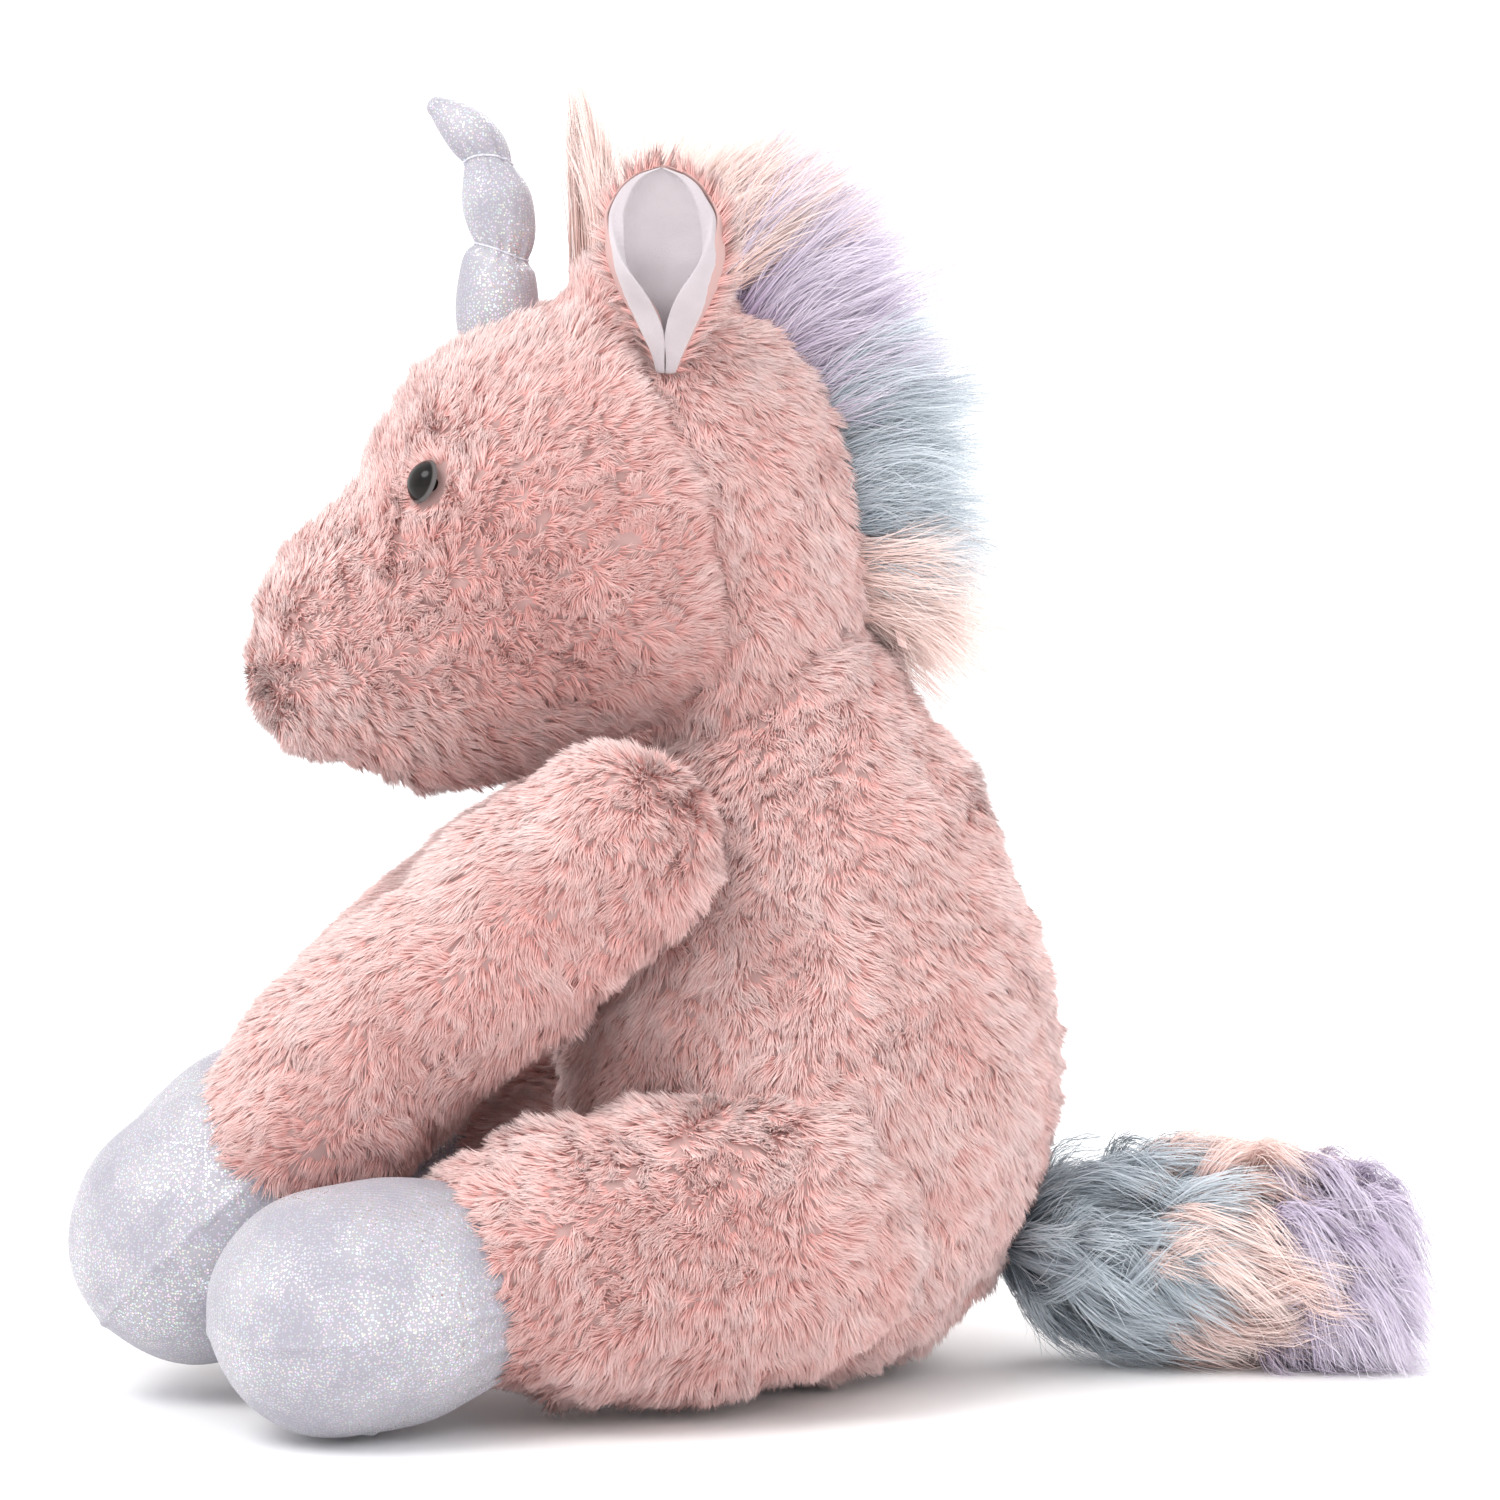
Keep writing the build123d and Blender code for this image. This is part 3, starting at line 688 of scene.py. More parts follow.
def body():
    """The torso's panels and the legs' sleeves, which are one soft skin, and their fillings."""
    hips = [limb_form("leg", side, LEG_SHAPE, PILE) for side, _ in SIDES]
    skin = stuffed(fused([torso_form(PILE)] + hips, VOXEL, 16))
    skin.points[:, 2] = np.maximum(skin.points[:, 2], SEAT_LOWEST)
    middle = skin.centres()
    free = np.ones(len(middle), bool)
    for side, sign in SIDES:
        edge, outwards = hip_plane(side)
        part = free & ((middle - edge) @ outwards > 0) & (middle[:, 0] * sign > 0)
        free &= ~part
        leg = furry(f"leg_sleeve_{side}_fur", skin.keep(part), leg_style(side), 40 + int(sign))
        finished(leg, pink, None, f"leg_sleeve_{side}", 0.7)
        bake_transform(leg)
        plain(f"leg_{side}_stuffing", limb_form("leg", side, LEG_SHAPE, CORE), fibre, f"leg_{side}",
              f"leg_filling_{side}", 0.7)

    seat = free & (middle[:, 2] < SEAT_TOP)
    belly = free & ~seat & (abs(middle[:, 0]) < BELLY_HALF) & (middle[:, 1] < BELLY_BACK) \
        & (middle[:, 2] < BELLY_TOP)
    sides = free & ~seat & ~belly
    left = middle[:, 0] > 0
    panels(skin, (("seat_panel", seat), ("belly_panel", belly), ("torso_panel_left", sides & left),
                  ("torso_panel_right", sides & ~left)), torso_style, 50, "torso", 0.75)
    plain("torso_stuffing", torso_form(CORE), fibre, "torso", "torso_filling", 0.75)


def arms():
    """The arms' sleeves and fillings."""
    for side, sign in SIDES:
        skin = stuffed(limb_form("arm", side, ARM_SHAPE, PILE))
        arm = furry(f"arm_sleeve_{side}_fur", skin, arm_style(side), 60 + int(sign))
        finished(arm, pink, f"arm_{side}", f"arm_sleeve_{side}", 0.7)
        plain(f"arm_{side}_stuffing", limb_form("arm", side, ARM_SHAPE, CORE), fibre, f"arm_{side}",
              f"arm_filling_{side}", 0.7)


def hoof_form(limb, side):
    """The hoof: a plump egg whose long back end tucks into the sleeve, with its seams pulled in."""
    start, along, length, across, upright = limb_axes(limb, side)
    front, back, wide, tall = (value * MM for value in HOOF_SIZE[limb])
    angle = np.linspace(0, math.pi, 121)[1:-1]
    place = np.where(np.cos(angle) > 0, -back, -front) * np.cos(angle)
    centre = start + along * length
    path = centre + np.outer(place, along)
    swell = np.sin(angle) ** 0.92
    loops = path[:, None] + between(across * wide, upright * tall, circle(192)) * swell[:, None, None]
    form = lofted(loops)
    local = form.points - centre
    fore, rise, out = local @ along, local @ upright, local @ across

    def stitches(along_seam):
        return 0.75 + 0.25 * np.cos(along_seam / (1.1 * MM))

    level = bump(rise - HOOF_SEAM, 1.0 * MM) * stitches(fore)
    upright_seam = bump(fore + 4 * MM + 0.15 * rise, 0.9 * MM) * (rise < 0) * stitches(rise)
    softness = bump(rise - HOOF_SEAM, 3.5 * MM) * 0.28 \
        + bump(fore + 4 * MM, 3.5 * MM) * ramp(-rise, 0, 6 * MM) * 0.2
    pleat = np.arctan2(rise, out)
    gather = ramp(-fore, 14 * MM, 30 * MM) * (np.sin(19 * pleat) + 0.5 * np.sin(31 * pleat + 1)) * 0.35
    flat = form.swollen((gather - 0.65 * np.maximum(level, upright_seam) - softness
                         + 0.35 * lump(form.points)) * MM)
    flat.points[:, 2] = np.maximum(flat.points[:, 2], LOWEST)
    return flat, (flat.points - centre) @ upright


def hooves():
    """Each hoof's top and sole, which meet at its level seam."""
    for limb in ("arm", "leg"):
        for side, _ in SIDES:
            form, rise = hoof_form(limb, side)
            top = rise[form.triangles].mean(axis=1) > HOOF_SEAM
            for name, part in (("top", top), ("sole", ~top)):
                plain(f"{limb}_hoof_{name}_{side}_cloth", form.keep(part), cloth, f"{limb}_{side}",
                      f"{limb}_hoof_{name}_{side}", 0.8)


# ---- head ----------------------------------------------------------------------------------------
HEAD = (                # along the head: Y, Z, half width, half height, over the fur
    (-147, 173.4, 12, 12.5), (-145, 173.6, 18, 18.5), (-141.5, 174.4, 24, 25), (-135.3, 176.2, 29, 29),
    (-123.8, 180.6, 34, 36.3), (-111, 184.2, 39, 43), (-97.9, 189.7, 44.5, 46.2), (-84.1, 199.8, 50, 52),
    (-69.5, 211, 54, 57), (-55, 219, 52, 55),
)
NECK = (                # from the shoulders up to the crown
    (-20, 158, 32, 29), (-25, 174, 35.5, 32), (-29, 192, 41, 37), (-31, 202, 42, 38), (-36, 222, 44, 40),
    (-44, 242, 43, 37), (-50, 254, 38, 28),
)
CHEEK_SEAM = np.array([(-60, 282), (-52, 247), (-37, 222), (-32, 182), (-48, 160), (-70, 148)]) * MM
NOSE = np.array([0, -176, 166]) * MM      # in front of the muzzle; the pile is combed away from it
TIP = np.array([0, -148, 164]) * MM       # of the muzzle, where the pile stands up and is painted pale against its shade
MOUTH = np.array([-130, 151]) * MM
HEAD_SLOPE = math.tan(math.radians(30))


def column(rows, inset, first_cap, last_cap):
    """A stuffed tube in the toy's middle plane."""
    rows = np.array(rows, float) * MM
    path = columns(0, rows[:, 0], rows[:, 1])
    return tube(path, rows[:, 2] - inset, rows[:, 3] - inset, first_cap=first_cap, last_cap=last_cap)


def past_seam(points):
    """How far a point lies behind the cheek's seam, as seen from the side; in front is negative."""
    best = np.full(len(points), 9.0)
    signed = np.zeros(len(points))
    for a, b in zip(CHEEK_SEAM[:-1], CHEEK_SEAM[1:]):
        run = b - a
        rel = points[:, 1:] - a
        t = np.clip(rel @ run / (run @ run), 0, 1)
        gap = rel - t[:, None] * run
        distance = away(gap)
        side = run[0] * rel[:, 1] - run[1] * rel[:, 0]
        signed = np.where(distance < best, np.sign(side) * distance, signed)
        best = np.minimum(best, distance)
    return signed


def eye_line(side):
    """The middle of an eye's dome and the way it looks."""
    sign = dict(SIDES)[side]
    return np.array([sign * 36, -104, 222]) * MM, unit([0.55 * sign, -0.78, 0.30])


def head_style(places, normals):
    """Fur combed back from the nose, curly and deep on the cheeks, smooth on top and painted pale there as
    light from above.
    """
    side = np.abs(places[:, 0])
    cheek = bump(places[:, 1] + 74 * MM, 36 * MM) * bump(places[:, 2] - 192 * MM, 36 * MM) \
        * ramp(side, 14 * MM, 34 * MM)
    up = ramp(normals[:, 2], 0.0, 0.75)
    behind = ramp(past_seam(places), -4 * MM, 6 * MM)
    way = unit(places - NOSE) * (1 - behind)[:, None] + np.array([0, 0.5, -0.85]) * behind[:, None]
    way[:, 2] -= 0.15
    swirl = parting(places) * (0.22 + 0.4 * cheek - 0.1 * up) + curl(places) * (0.2 + 0.8 * cheek)
    lean = np.clip(1.0 - 0.25 * cheek + 0.16 * curl(places + 0.1), 0.5, 1.25)
    length = (6.4 - 1.2 * cheek + 0.5 * patch(places)) * MM
    # painted light: the tone is raised where the fur faces up
    tone = 0.62 - 0.62 * cheek + 0.12 * patch(places) + 0.12 * curl(places) + 0.2 * up * (1 - cheek)
    from_tip = away(places, TIP)
    lean *= 1 - 0.3 * bump(from_tip, 9 * MM)
    # painted light: the tone is raised round the muzzle's tip to lift the shade there
    tone += 0.3 * bump(from_tip, 24 * MM)
    length *= 1 - 0.2 * ramp(-places[:, 1], 112 * MM, 132 * MM)
    kept = np.ones(len(places), bool)
    for eye_side, _ in SIDES:
        centre, axis = eye_line(eye_side)
        apart = places - centre
        off_axis = apart - (apart @ axis)[:, None] * axis
        near = away(off_axis)
        beside = away(apart) < 24 * MM
        kept &= ~(beside & (near < 4.6 * MM))
        pushed = (1 - ramp(near, 6 * MM, 13 * MM)) * beside
        way = way * (1 - pushed)[:, None] + unit(off_axis) * pushed[:, None]
        swirl = swirl * (1 - pushed)
        length *= 1 - 0.35 * pushed
        tone += 0.12 * pushed
    return way, swirl, lean, length, tone, kept


def head():
    """The head's panels and the neck's, which are one soft skin with seams, and their fillings."""
    skin = fused([column(HEAD, PILE, 0.35, 0.95), column(NECK, PILE, 0.6, 0.75)], VOXEL, 9)
    skin = stuffed(skin, 0.25, 0.2)
    seam = past_seam(skin.points)
    sides = ramp(np.abs(skin.points[:, 0]), 8 * MM, 24 * MM)
    pull = 3.4 * bump(seam - 1.5 * MM, 4.5 * MM) * sides - 1.8 * bump(seam + 7 * MM, 7 * MM) * sides
    pull += 1.6 * bump(away(skin.points[:, 1:], MOUTH), 4 * MM)
    for side, _ in SIDES:
        pull += 2.2 * bump(away(skin.points, eye_line(side)[0]), 9 * MM)
    skin = skin.swollen(-pull * MM)
    middle = skin.centres()
    over = middle[:, 2] - 163 * MM - (middle[:, 1] + 151 * MM) * HEAD_SLOPE
    neck = past_seam(middle) > 1.5 * MM
    gusset = ~neck & (over > 0) & (abs(middle[:, 0]) < 15 * MM)
    chin = ~neck & (over <= 0) & (abs(middle[:, 0]) < 20 * MM)
    cheeks = ~neck & ~gusset & ~chin
    left = middle[:, 0] > 0
    panels(skin, (("head_gusset", gusset), ("chin_panel", chin), ("head_panel_left", cheeks & left),
                  ("head_panel_right", cheeks & ~left), ("neck_panel_left", neck & left),
                  ("neck_panel_right", neck & ~left)), head_style, 70, "head", 0.8)
    core = fused([column(HEAD[3:], CORE, 0.3, 0.95)], 4 * MM, 4)
    plain("head_stuffing", core, fibre, "head", "head_filling", 0.8)
    plain("neck_stuffing", column(NECK[:4], PILE + 6 * MM, 0.5, 0.6), fibre, "head", "neck_filling", 0.8)


# ---- ears ----------------------------------------------------------------------------------------
EAR_ROWS = (            # share of the length, half width over all, and how far round the leaf is rolled
    (0.0, 1.8, 178), (0.12, 3.8, 178), (0.28, 7.6, 174), (0.45, 11.5, 156), (0.62, 13.6, 128),
    (0.78, 13.6, 98), (0.90, 10.8, 74), (0.97, 6.4, 60), (1.0, 1.2, 52),
)
EAR_LENGTH = 50 * MM
EAR_DEPTH = 0.55        # of the cup, as a share of a round one's


def ear_form(side, share, half_thick, roll, shift):
    """An ear's leaf, rolled lengthwise into a cup: closed at the foot and open towards the tip."""
    sign = dict(SIDES)[side]
    foot = np.array([37 * sign, -45, 249]) * MM
    upward = unit([0.30 * sign, -0.02, 1.0])
    front = unit([1.0 * sign, -0.18, -0.30])
    across = np.cross(upward, front) * sign
    front = unit(front - upward * (front @ upward))
    rows = np.array(EAR_ROWS)
    steps = np.linspace(0, 1, 72) ** 0.9
    wide = smooth_curve(rows[:, 0], rows[:, 1], steps) * MM * share
    rolled = np.radians(smooth_curve(rows[:, 0], rows[:, 2], steps))
    radius = wide / np.sin(np.minimum(rolled, math.pi / 2))
    turn = circle(84)
    place = np.cos(turn)
    loops = []
    for step, r, a in zip(steps, radius, rolled):
        bend = a * place
        sway = 1.6 * MM * math.sin(3 * step)
        middle = (foot + upward * EAR_LENGTH * step)[None] + across * (r * np.sin(bend) + sway)[:, None] \
            + front * (EAR_DEPTH * r * (1 - np.cos(bend)) + shift)[:, None]
        facing = unit(-across * np.sin(bend)[:, None] * EAR_DEPTH + front * np.cos(bend)[:, None])
        rim = roll * np.exp(-((np.abs(place) - 0.80) / 0.20) ** 2) * (np.sin(turn) > 0)
        thick = (half_thick + rim) * np.minimum(1, 0.35 + 3 * (1 - step))
        depth = np.sign(np.sin(turn)) * np.abs(np.sin(turn)) ** 0.7
        loops.append(middle + facing * (depth * thick)[:, None])
    loops = np.array(loops)
    return lofted(loops if sign < 0 else loops[:, ::-1]), foot, upward, front


def ears():
    """Each ear: a furry back and a white plush lining with a plump rolled rim."""
    for side, sign in SIDES:
        lining, foot, upward, front = ear_form(side, 0.92, 0.9 * MM, 3.4 * MM, 1.0 * MM)
        lining = lining.swollen(0.12 * dimple(lining.points) * MM)
        plain(f"ear_inner_{side}_velboa", lining, white, f"ear_{side}", f"ear_inner_{side}", 0.3)
        back, *_ = ear_form(side, 1.0, 1.1 * MM, 0.3 * MM, -0.9 * MM)

        def style(places, normals):
            """Fur along the back of the leaf, with none on its hollow side."""
            way = np.tile(0.75 * upward - 0.35 * front, (len(places), 1))
            rows = np.array(EAR_ROWS)
            height = (places - foot) @ upward
            radius = rows[:, 1] / np.sin(np.minimum(np.radians(rows[:, 2]), math.pi / 2)) * MM
            radius = np.interp(height / EAR_LENGTH, rows[:, 0], radius)
            middle = foot + upward * height[:, None] + front * (EAR_DEPTH * radius)[:, None]
            inside = ((places - middle) * normals).sum(axis=1) < 0.25 * MM
            open_side = inside | (normals @ front > 0.12)
            tone = 0.80 + 0.10 * patch(places) + 0.08 * curl(places)
            lean, length = (np.full(len(places), value) for value in (0.72, 7.0 * MM))
            return way, 0.35 * curl(places), lean, length, tone, ~open_side

        ear = furry(f"ear_outer_{side}_fur", back, style, 80 + int(sign), spacing=1.6 * MM)
        finished(ear, pink, f"ear_{side}", f"ear_outer_{side}", 0.3)


# ---- horn ----------------------------------------------------------------------------------------
HORN_ROWS = (           # share of the length, then the axis as Y, Z and the radius
    (0.0, -86, 253, 10.0), (0.20, -88.0, 265, 10.4), (0.34, -87.6, 275, 9.6), (0.46, -86.8, 281, 8.9),
    (0.60, -87.8, 291, 9.0), (0.74, -90.3, 301, 7.6), (0.84, -94.5, 308, 6.6), (0.94, -100.0, 313, 4.4),
    (1.0, -103.0, 315.2, 2.6),
)
HORN_PINCHES = ((0.44, 0.26), (0.745, 0.30))    # place and depth


def horn_line(share):
    """Places on the horn's axis."""
    rows = np.array(HORN_ROWS)
    y, z = (smooth_curve(rows[:, 0], rows[:, k], share) * MM for k in (1, 2))
    return columns(0, y, z)


def horn_radius(share, turn, inset):
    """The horn's radius: a taper, pinched by the thread at a slant, with pleats beside each pinch."""
    rows = np.array(HORN_ROWS)
    radius = smooth_curve(rows[:, 0], rows[:, 3], share) * MM - inset
    pinched = np.zeros_like(share + turn)
    pleats = np.zeros_like(share + turn)
    for k, (pinch, depth) in enumerate(HORN_PINCHES):
        apart = share - pinch + 0.035 * np.cos(turn + 1.2 + k)
        pinched += depth * np.exp(-np.abs(apart / 0.06) ** 1.4)
        pleats += np.exp(-(apart / 0.08) ** 2) * (np.sin(11 * turn + k) + 0.6 * np.sin(17 * turn))
    return radius * (1 - pinched) + pleats * 0.26 * MM * (inset == 0)


def horn_places(share, turn, inset=0.0, proud=0.0):
    """Points on the horn's surface at these shares of its length and turns round it."""
    step = 0.01
    upward = unit(horn_line(np.minimum(share + step, 1.0)) - horn_line(np.maximum(share - step, 0.0)))
    fore = np.cross(upward, [1.0, 0.0, 0.0])
    radius = (horn_radius(share, turn, inset) + proud)[..., None]
    return horn_line(share) + radius * between(np.array([1.0, 0, 0]), -fore, turn)


def horn_form(inset=0.0):
    """Three puffed lobes with a tip that bends forward."""
    share = np.linspace(0, 1, 150)[:, None]
    turn = circle(120)[None]
    loops = horn_places(share + 0 * turn, turn + 0 * share, inset)
    end = horn_line(np.array([1.0]))
    upward = unit(end - horn_line(np.array([0.98])))
    round_tip = [end + (loops[-1] - end) * math.cos(a) + upward * 2.2 * MM * math.sin(a)
                 for a in np.linspace(0.15, 1.55, 10)]
    return lofted(np.concatenate([loops, np.array(round_tip)]))


def horn():
    """The horn's cover, its filling and the thread that pinches it."""
    plain("horn_cover_cloth", horn_form(), cloth, "head", "horn_cover", 0.8)
    plain("horn_stuffing", horn_form(1.6 * MM), fibre, "head", "horn_filling", 0.8)
    turn = circle(90)
    turns = []
    for k, (pinch, _) in enumerate(HORN_PINCHES):
        share = pinch - 0.035 * np.cos(turn + 1.2 + k)
        turns.append(ring_tube(horn_places(share, turn, proud=0.12 * MM), 0.3 * MM))
    plain("horn_thread_turns", joined(turns), thread, "head", "horn_thread")


def ring_tube(line, radius, around=8):
    """A thin round tube along a closed line."""
    tangent = unit(np.roll(line, -1, axis=0) - np.roll(line, 1, axis=0))
    side = unit(np.cross(tangent, UP))
    above = np.cross(side, tangent)
    rings = line[:, None] + between(side[:, None], above[:, None], circle(around)) * radius
    a, b = ring_edges(len(line), around)
    c, d = (np.roll(edge, -around) for edge in (b, a))
    return Form(rings.reshape(-1, 3), np.concatenate([np.stack([a, c, b], 1), np.stack([a, d, c], 1)]))


# ---- long hair -----------------------------------------------------------------------------------
HAIR_STEPS = 6
HAIR_WIDTH = 0.22 * MM


def long_hair(name, guides, outward, foot, spread, seed, per_lock, tone, frizz=2.4, shortest=0.3):
    """Locks of long hair. Each strand follows its lock's guide (locks, steps, 3), gathered within foot
    at the root and within spread at the tip, with its blade turned towards outward."""
    dice = np.random.default_rng(seed)
    locks, steps = guides.shape[:2]
    shape = (locks, per_lock)
    cut = dice.uniform(shortest, 1.0, shape) ** 0.8
    where = np.linspace(0, 1, HAIR_STEPS + 1)
    at = cut[..., None] * where * (steps - 1)
    low = np.minimum(at.astype(int), steps - 2)
    share = (at - low)[..., None]
    rows = np.arange(locks)[:, None, None]
    line = guides[rows, low] * (1 - share) + guides[rows, low + 1] * share
    tangent = unit(guides[rows, low + 1] - guides[rows, low])
    face = unit(outward[:, None, None] - tangent * (outward[:, None, None] * tangent).sum(-1, keepdims=True))
    side = np.cross(tangent, face)
    angle = dice.uniform(0, TURN, shape)[..., None]
    depth = np.sqrt(dice.uniform(size=shape))[..., None]
    curve = foot + (spread - foot) * where ** 1.3
    stray = (dice.uniform(size=shape) ** 5)[..., None] * 8 * MM * where ** 2
    line = line + between(side, face, angle) * (depth * curve + stray)[..., None]
    for k in range(3):
        rate = dice.uniform(2, 6, shape)[..., None]
        phase = dice.uniform(0, TURN, shape)[..., None]
        line[..., k] += np.sin(rate * where + phase) * frizz * MM * where \
            * dice.uniform(0.1, 1, shape)[..., None]
    line[..., 2] = np.maximum(line[..., 2], LOWEST)
    tangent = unit(np.gradient(line, axis=2))
    side = unit(np.cross(tangent, face + dice.normal(0, 0.5, shape + (1, 3))))
    half = side * (HAIR_WIDTH / 2 * (1 - where ** 3 * 0.85))[:, None]
    pairs = np.stack([line - half, line + half], axis=3)
    count = locks * per_lock
    points = np.concatenate([pairs[:, :, :-1].reshape(count, -1, 3), line[:, :, -1:].reshape(count, 1, 3)], 1)
    blade = []
    for k in range(HAIR_STEPS - 1):
        a = 2 * k
        blade += [[a, a + 1, a + 3], [a, a + 3, a + 2]]
    blade.append([2 * HAIR_STEPS - 2, 2 * HAIR_STEPS - 1, 2 * HAIR_STEPS])
    size = 2 * HAIR_STEPS + 1
    triangles = (np.arange(count)[:, None, None] * size + np.array(blade)).reshape(-1, 3)
    lock_tone = dice.normal(tone, 0.16, (locks, 1))
    shade = np.clip(lock_tone + dice.normal(0, 0.12, shape), 0.02, 0.98).reshape(count, 1)
    across = np.append(np.tile([-0.008, 0.008], HAIR_STEPS), 0)
    along = np.append(np.repeat(where[:-1], 2), 1.0)
    coordinates = columns(shade + across, along * 0.96 + 0.02)
    return mesh_object(name, Form(points.reshape(-1, 3), triangles), coordinates.reshape(-1, 2))


def swept_guides(starts, leave, ends, droop, steps=24):
    """Guides that leave their starts one way and bend over to their ends, then droop."""
    t = np.linspace(0, 1, steps)[None, :, None]
    control = starts + leave
    line = (1 - t) ** 2 * starts[:, None] + 2 * t * (1 - t) * control[:, None] + t ** 2 * ends[:, None]
    line[..., 2] -= droop[:, None] * t[..., 0] ** 2
    return line


MANE_ROWS = (           # place along the crest, then the root and the tip as Y, Z
    (0.00, -56, 274, -50, 314), (0.12, -44, 278, -24, 316), (0.25, -32, 277, 2, 310),
    (0.36, -24, 269, 16, 300), (0.48, -19, 257, 25, 282), (0.58, -13, 244, 32, 263),
    (0.68, -6, 230, 38, 243), (0.80, -1, 214, 39, 220), (0.88, 3, 202, 38, 200), (1.00, 7, 186, 40, 168),
)
MANE_SECTIONS = (       # node, first and last place, locks, slot
    ("mane_cream_upper", -0.02, 0.30, 150, "hair_cream"), ("mane_lavender", 0.22, 0.66, 195, "hair_lavender"),
    ("mane_blue", 0.57, 0.92, 180, "hair_blue"), ("mane_cream_lower", 0.84, 1.0, 80, "hair_cream"),
)


def mane():
    """The mane: four colours of long hair from the crown down the nape."""
    rows = np.array(MANE_ROWS)
    for k, (name, first, last, locks, slot) in enumerate(MANE_SECTIONS):
        dice = np.random.default_rng(100 + k)
        place = np.clip(dice.uniform(first, last, locks), 0, 1)
        y, z, tip_y, tip_z = (smooth_curve(rows[:, 0], rows[:, c], place) * MM for c in (1, 2, 3, 4))
        x = dice.uniform(-9, 9, locks) * MM
        starts = columns(x, y, z)
        starts[:, 2] -= 0.25 * np.abs(x)
        starts[:, 1:] -= unit(columns(tip_y - y, tip_z - z)) * 5 * MM
        fan = x * 1.5 + dice.normal(0, 3 * MM, locks)
        ends = columns(fan, tip_y, tip_z)
        ends = starts + (ends - starts) * dice.uniform(0.55, 1.0, locks)[:, None]
        ends[:, 1:] += dice.normal(0, 5.5 * MM, (locks, 2))
        lift = columns(0, -(tip_z - z), tip_y - y)
        leave = (ends - starts) * 0.5 + lift * dice.uniform(-0.12, 0.38, locks)[:, None]
        guides = swept_guides(starts, leave, ends, dice.uniform(0, 4 * MM, locks))
        outward = unit(columns(x + np.sign(x) * 8 * MM, 0, 6 * MM))
        hair = long_hair(f"{name}_hair", guides, outward, 2.6 * MM, 3.4 * MM, 110 + k, 95, 0.6)
        finished(hair, colours[slot], "head", name)


def forelock():
    """A thin upright tuft before the ears."""
    dice = np.random.default_rng(130)
    locks = 16
    angle = dice.uniform(0, TURN, locks)
    radius = 8 * MM * np.sqrt(dice.uniform(size=locks))
    x, y = radius * np.cos(angle), radius * np.sin(angle)
    starts = columns(x, y - 62 * MM, 272 * MM - 0.2 * radius)
    height = dice.uniform(0.35, 1.0, locks) ** 0.7 * 60 * MM
    height[0] = 60 * MM
    ends = columns(x * 0.12, y * 0.15 - 62 * MM - height * 0.14, 271 * MM + height)
    leave = columns(x * 0.1, y * 0.1, height * 0.5)
    guides = swept_guides(starts, leave, ends, 0 * height)
    outward = unit(columns(x + 1e-4, y, 0))
    hair = long_hair("forelock_hair", guides, outward, 2.4 * MM, 0.6 * MM, 131, 130, 0.78, frizz=0.5,
                     shortest=0.6)
    finished(hair, colours["hair_cream"], "head", "forelock")


TAIL_SECTIONS = (       # node, first and last root along Y, locks, reach, droop, slot
    ("tail_blue", 38, 76, 230, (12, 40), (0, 8), "hair_blue"),
    ("tail_cream", 70, 106, 210, (16, 44), (0, 16), "hair_cream"),
    ("tail_lavender", 102, 132, 190, (8, 26), (10, 40), "hair_lavender"),
)
TAIL_HEIGHT = 31        # of its middle, in millimetres


def tail_radius(y):
    """The bush of hair's radius along the tail, in millimetres."""
    return smooth_curve((38, 44, 50, 58, 72, 96, 120, 138, 151), (15, 18, 22, 25.5, 28, 28.5, 27, 22, 10), y)


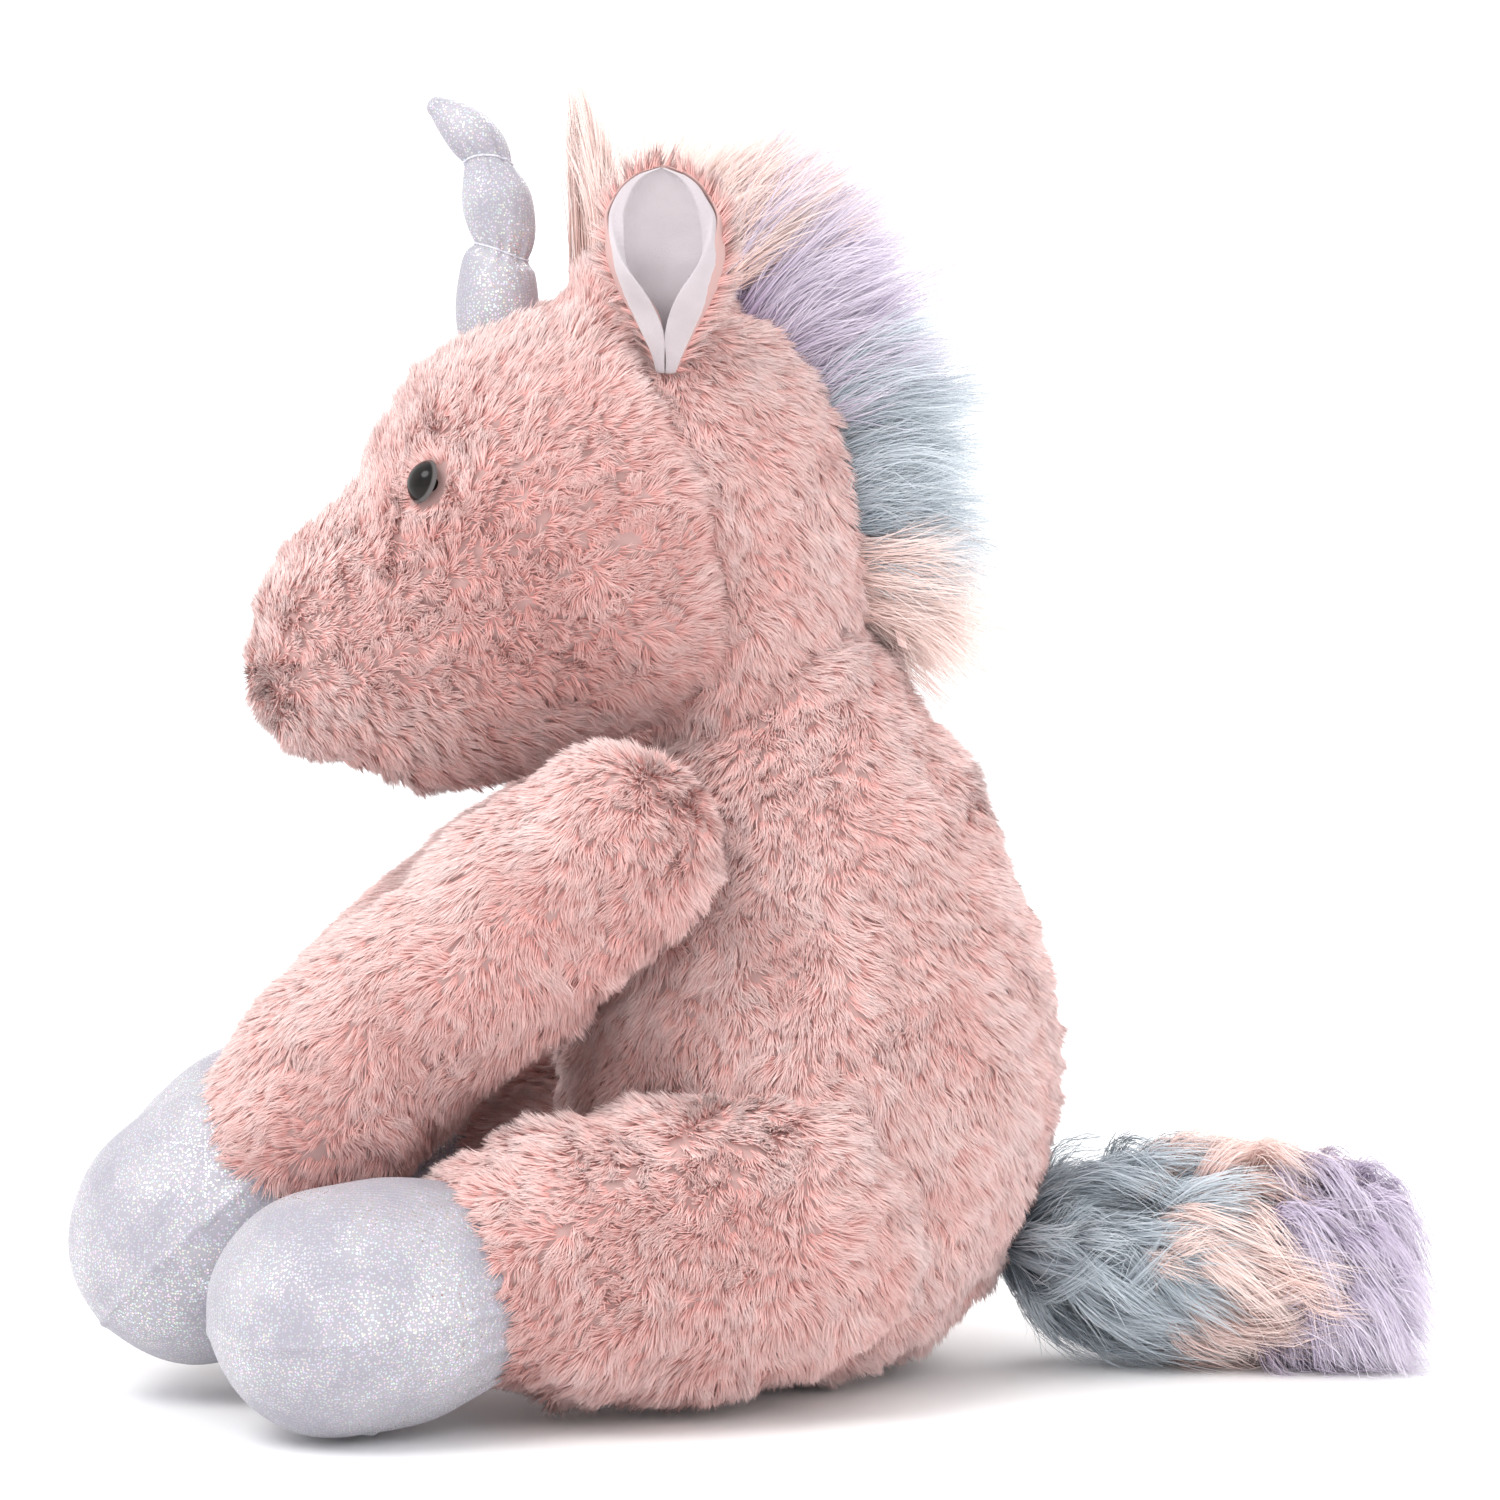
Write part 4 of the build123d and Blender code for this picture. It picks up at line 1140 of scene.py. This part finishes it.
def tail():
    """The tail: a bush of long hair round its core, in three colours."""
    for k, (name, first, last, locks, reach, droop, slot) in enumerate(TAIL_SECTIONS):
        dice = np.random.default_rng(140 + k)
        y = dice.uniform(first, last, locks)
        angle = dice.uniform(0, TURN, locks)
        layer = dice.uniform(0.25, 1.0, locks) ** 0.6
        run = dice.uniform(*reach, locks)
        end_y = np.minimum(y + run, 149.5)
        t = np.linspace(0, 1, 24)[None]
        along = y[:, None] + (end_y - y)[:, None] * t ** 1.15
        full = tail_radius(np.minimum(along, 150)) * layer[:, None]
        opened = np.sin(np.minimum(t * 2.6, 1) * math.pi / 2)
        radius = 5 + (full - 5) * opened
        twist = angle[:, None] + dice.normal(0, 0.6, locks)[:, None] * t
        if slot == "hair_cream":
            wave = ramp(-np.sin(angle), -0.2, 0.7)[:, None]
            along = along + wave * 5.5 * np.sin(5.2 * t + angle[:, None]) * t
            radius = radius + wave * 4.0 * np.cos(5.2 * t + angle[:, None]) * t - 2 * wave * t
        drop = dice.uniform(*droop, locks)[:, None] * t ** 2
        guides = columns(radius * np.cos(twist), along, TAIL_HEIGHT + radius * np.sin(twist) - drop) * MM
        guides[..., 2] = np.maximum(guides[..., 2], 1.2 * MM)
        outward = columns(np.cos(angle), 0, np.sin(angle))
        hair = long_hair(f"{name}_hair", guides, outward, 2.8 * MM, 2.8 * MM, 150 + k, 80, 0.5)
        finished(hair, colours[slot], "tail", name)


# ---- inner pieces and finish ---------------------------------------------------------------------
def repaint(node, material):
    """A CAD piece whose shape is right gets a better material."""
    mesh = frame["nodes"][node].data
    mesh.materials.clear()
    mesh.materials.append(material)


studio()
pink = fur_material("pink_fur", (228, 171, 165), (254, 232, 229))
white = velboa()
cloth = sparkle_cloth()
fibre = grainy("fibre_fill", (225, 226, 228), (248, 248, 250), 700.0, depth=1 * MM, Sheen_Weight=0.4)
thread = grainy("thread", (188, 188, 198), (214, 214, 222), 1800.0, roughness=0.5)
colours = {
    "hair_cream": fur_material("hair_cream", (230, 196, 188), (255, 244, 240), lift=0.35),
    "hair_lavender": fur_material("hair_lavender", (172, 156, 184), (244, 239, 247), lift=0.3),
    "hair_blue": fur_material("hair_blue", (130, 143, 155), (232, 238, 243), lift=0.3),
}
for build in (body, arms, hooves, head, ears, horn, mane, forelock, tail):
    build()

repaint("pellets", grainy("pellet_plastic", (226, 226, 220), (244, 244, 240), 420.0, roughness=0.4))
repaint("pellet_bag", grainy("bag_cloth", (232, 230, 224), (246, 245, 240), 1500.0))
backing = grainy("hair_backing", (214, 180, 176), (232, 206, 200), 900.0)
for node in ("mane_strip", "tail_core"):
    repaint(node, backing)
washer = grainy("washer_plastic", (236, 236, 236), (250, 250, 250), 300.0, roughness=0.35, depth=0.1 * MM)
for side, _ in SIDES:
    repaint(f"eye_{side}", eye_plastic(f"eye_plastic_{side}", *eye_line(side)))
    repaint(f"eye_washer_{side}", washer)
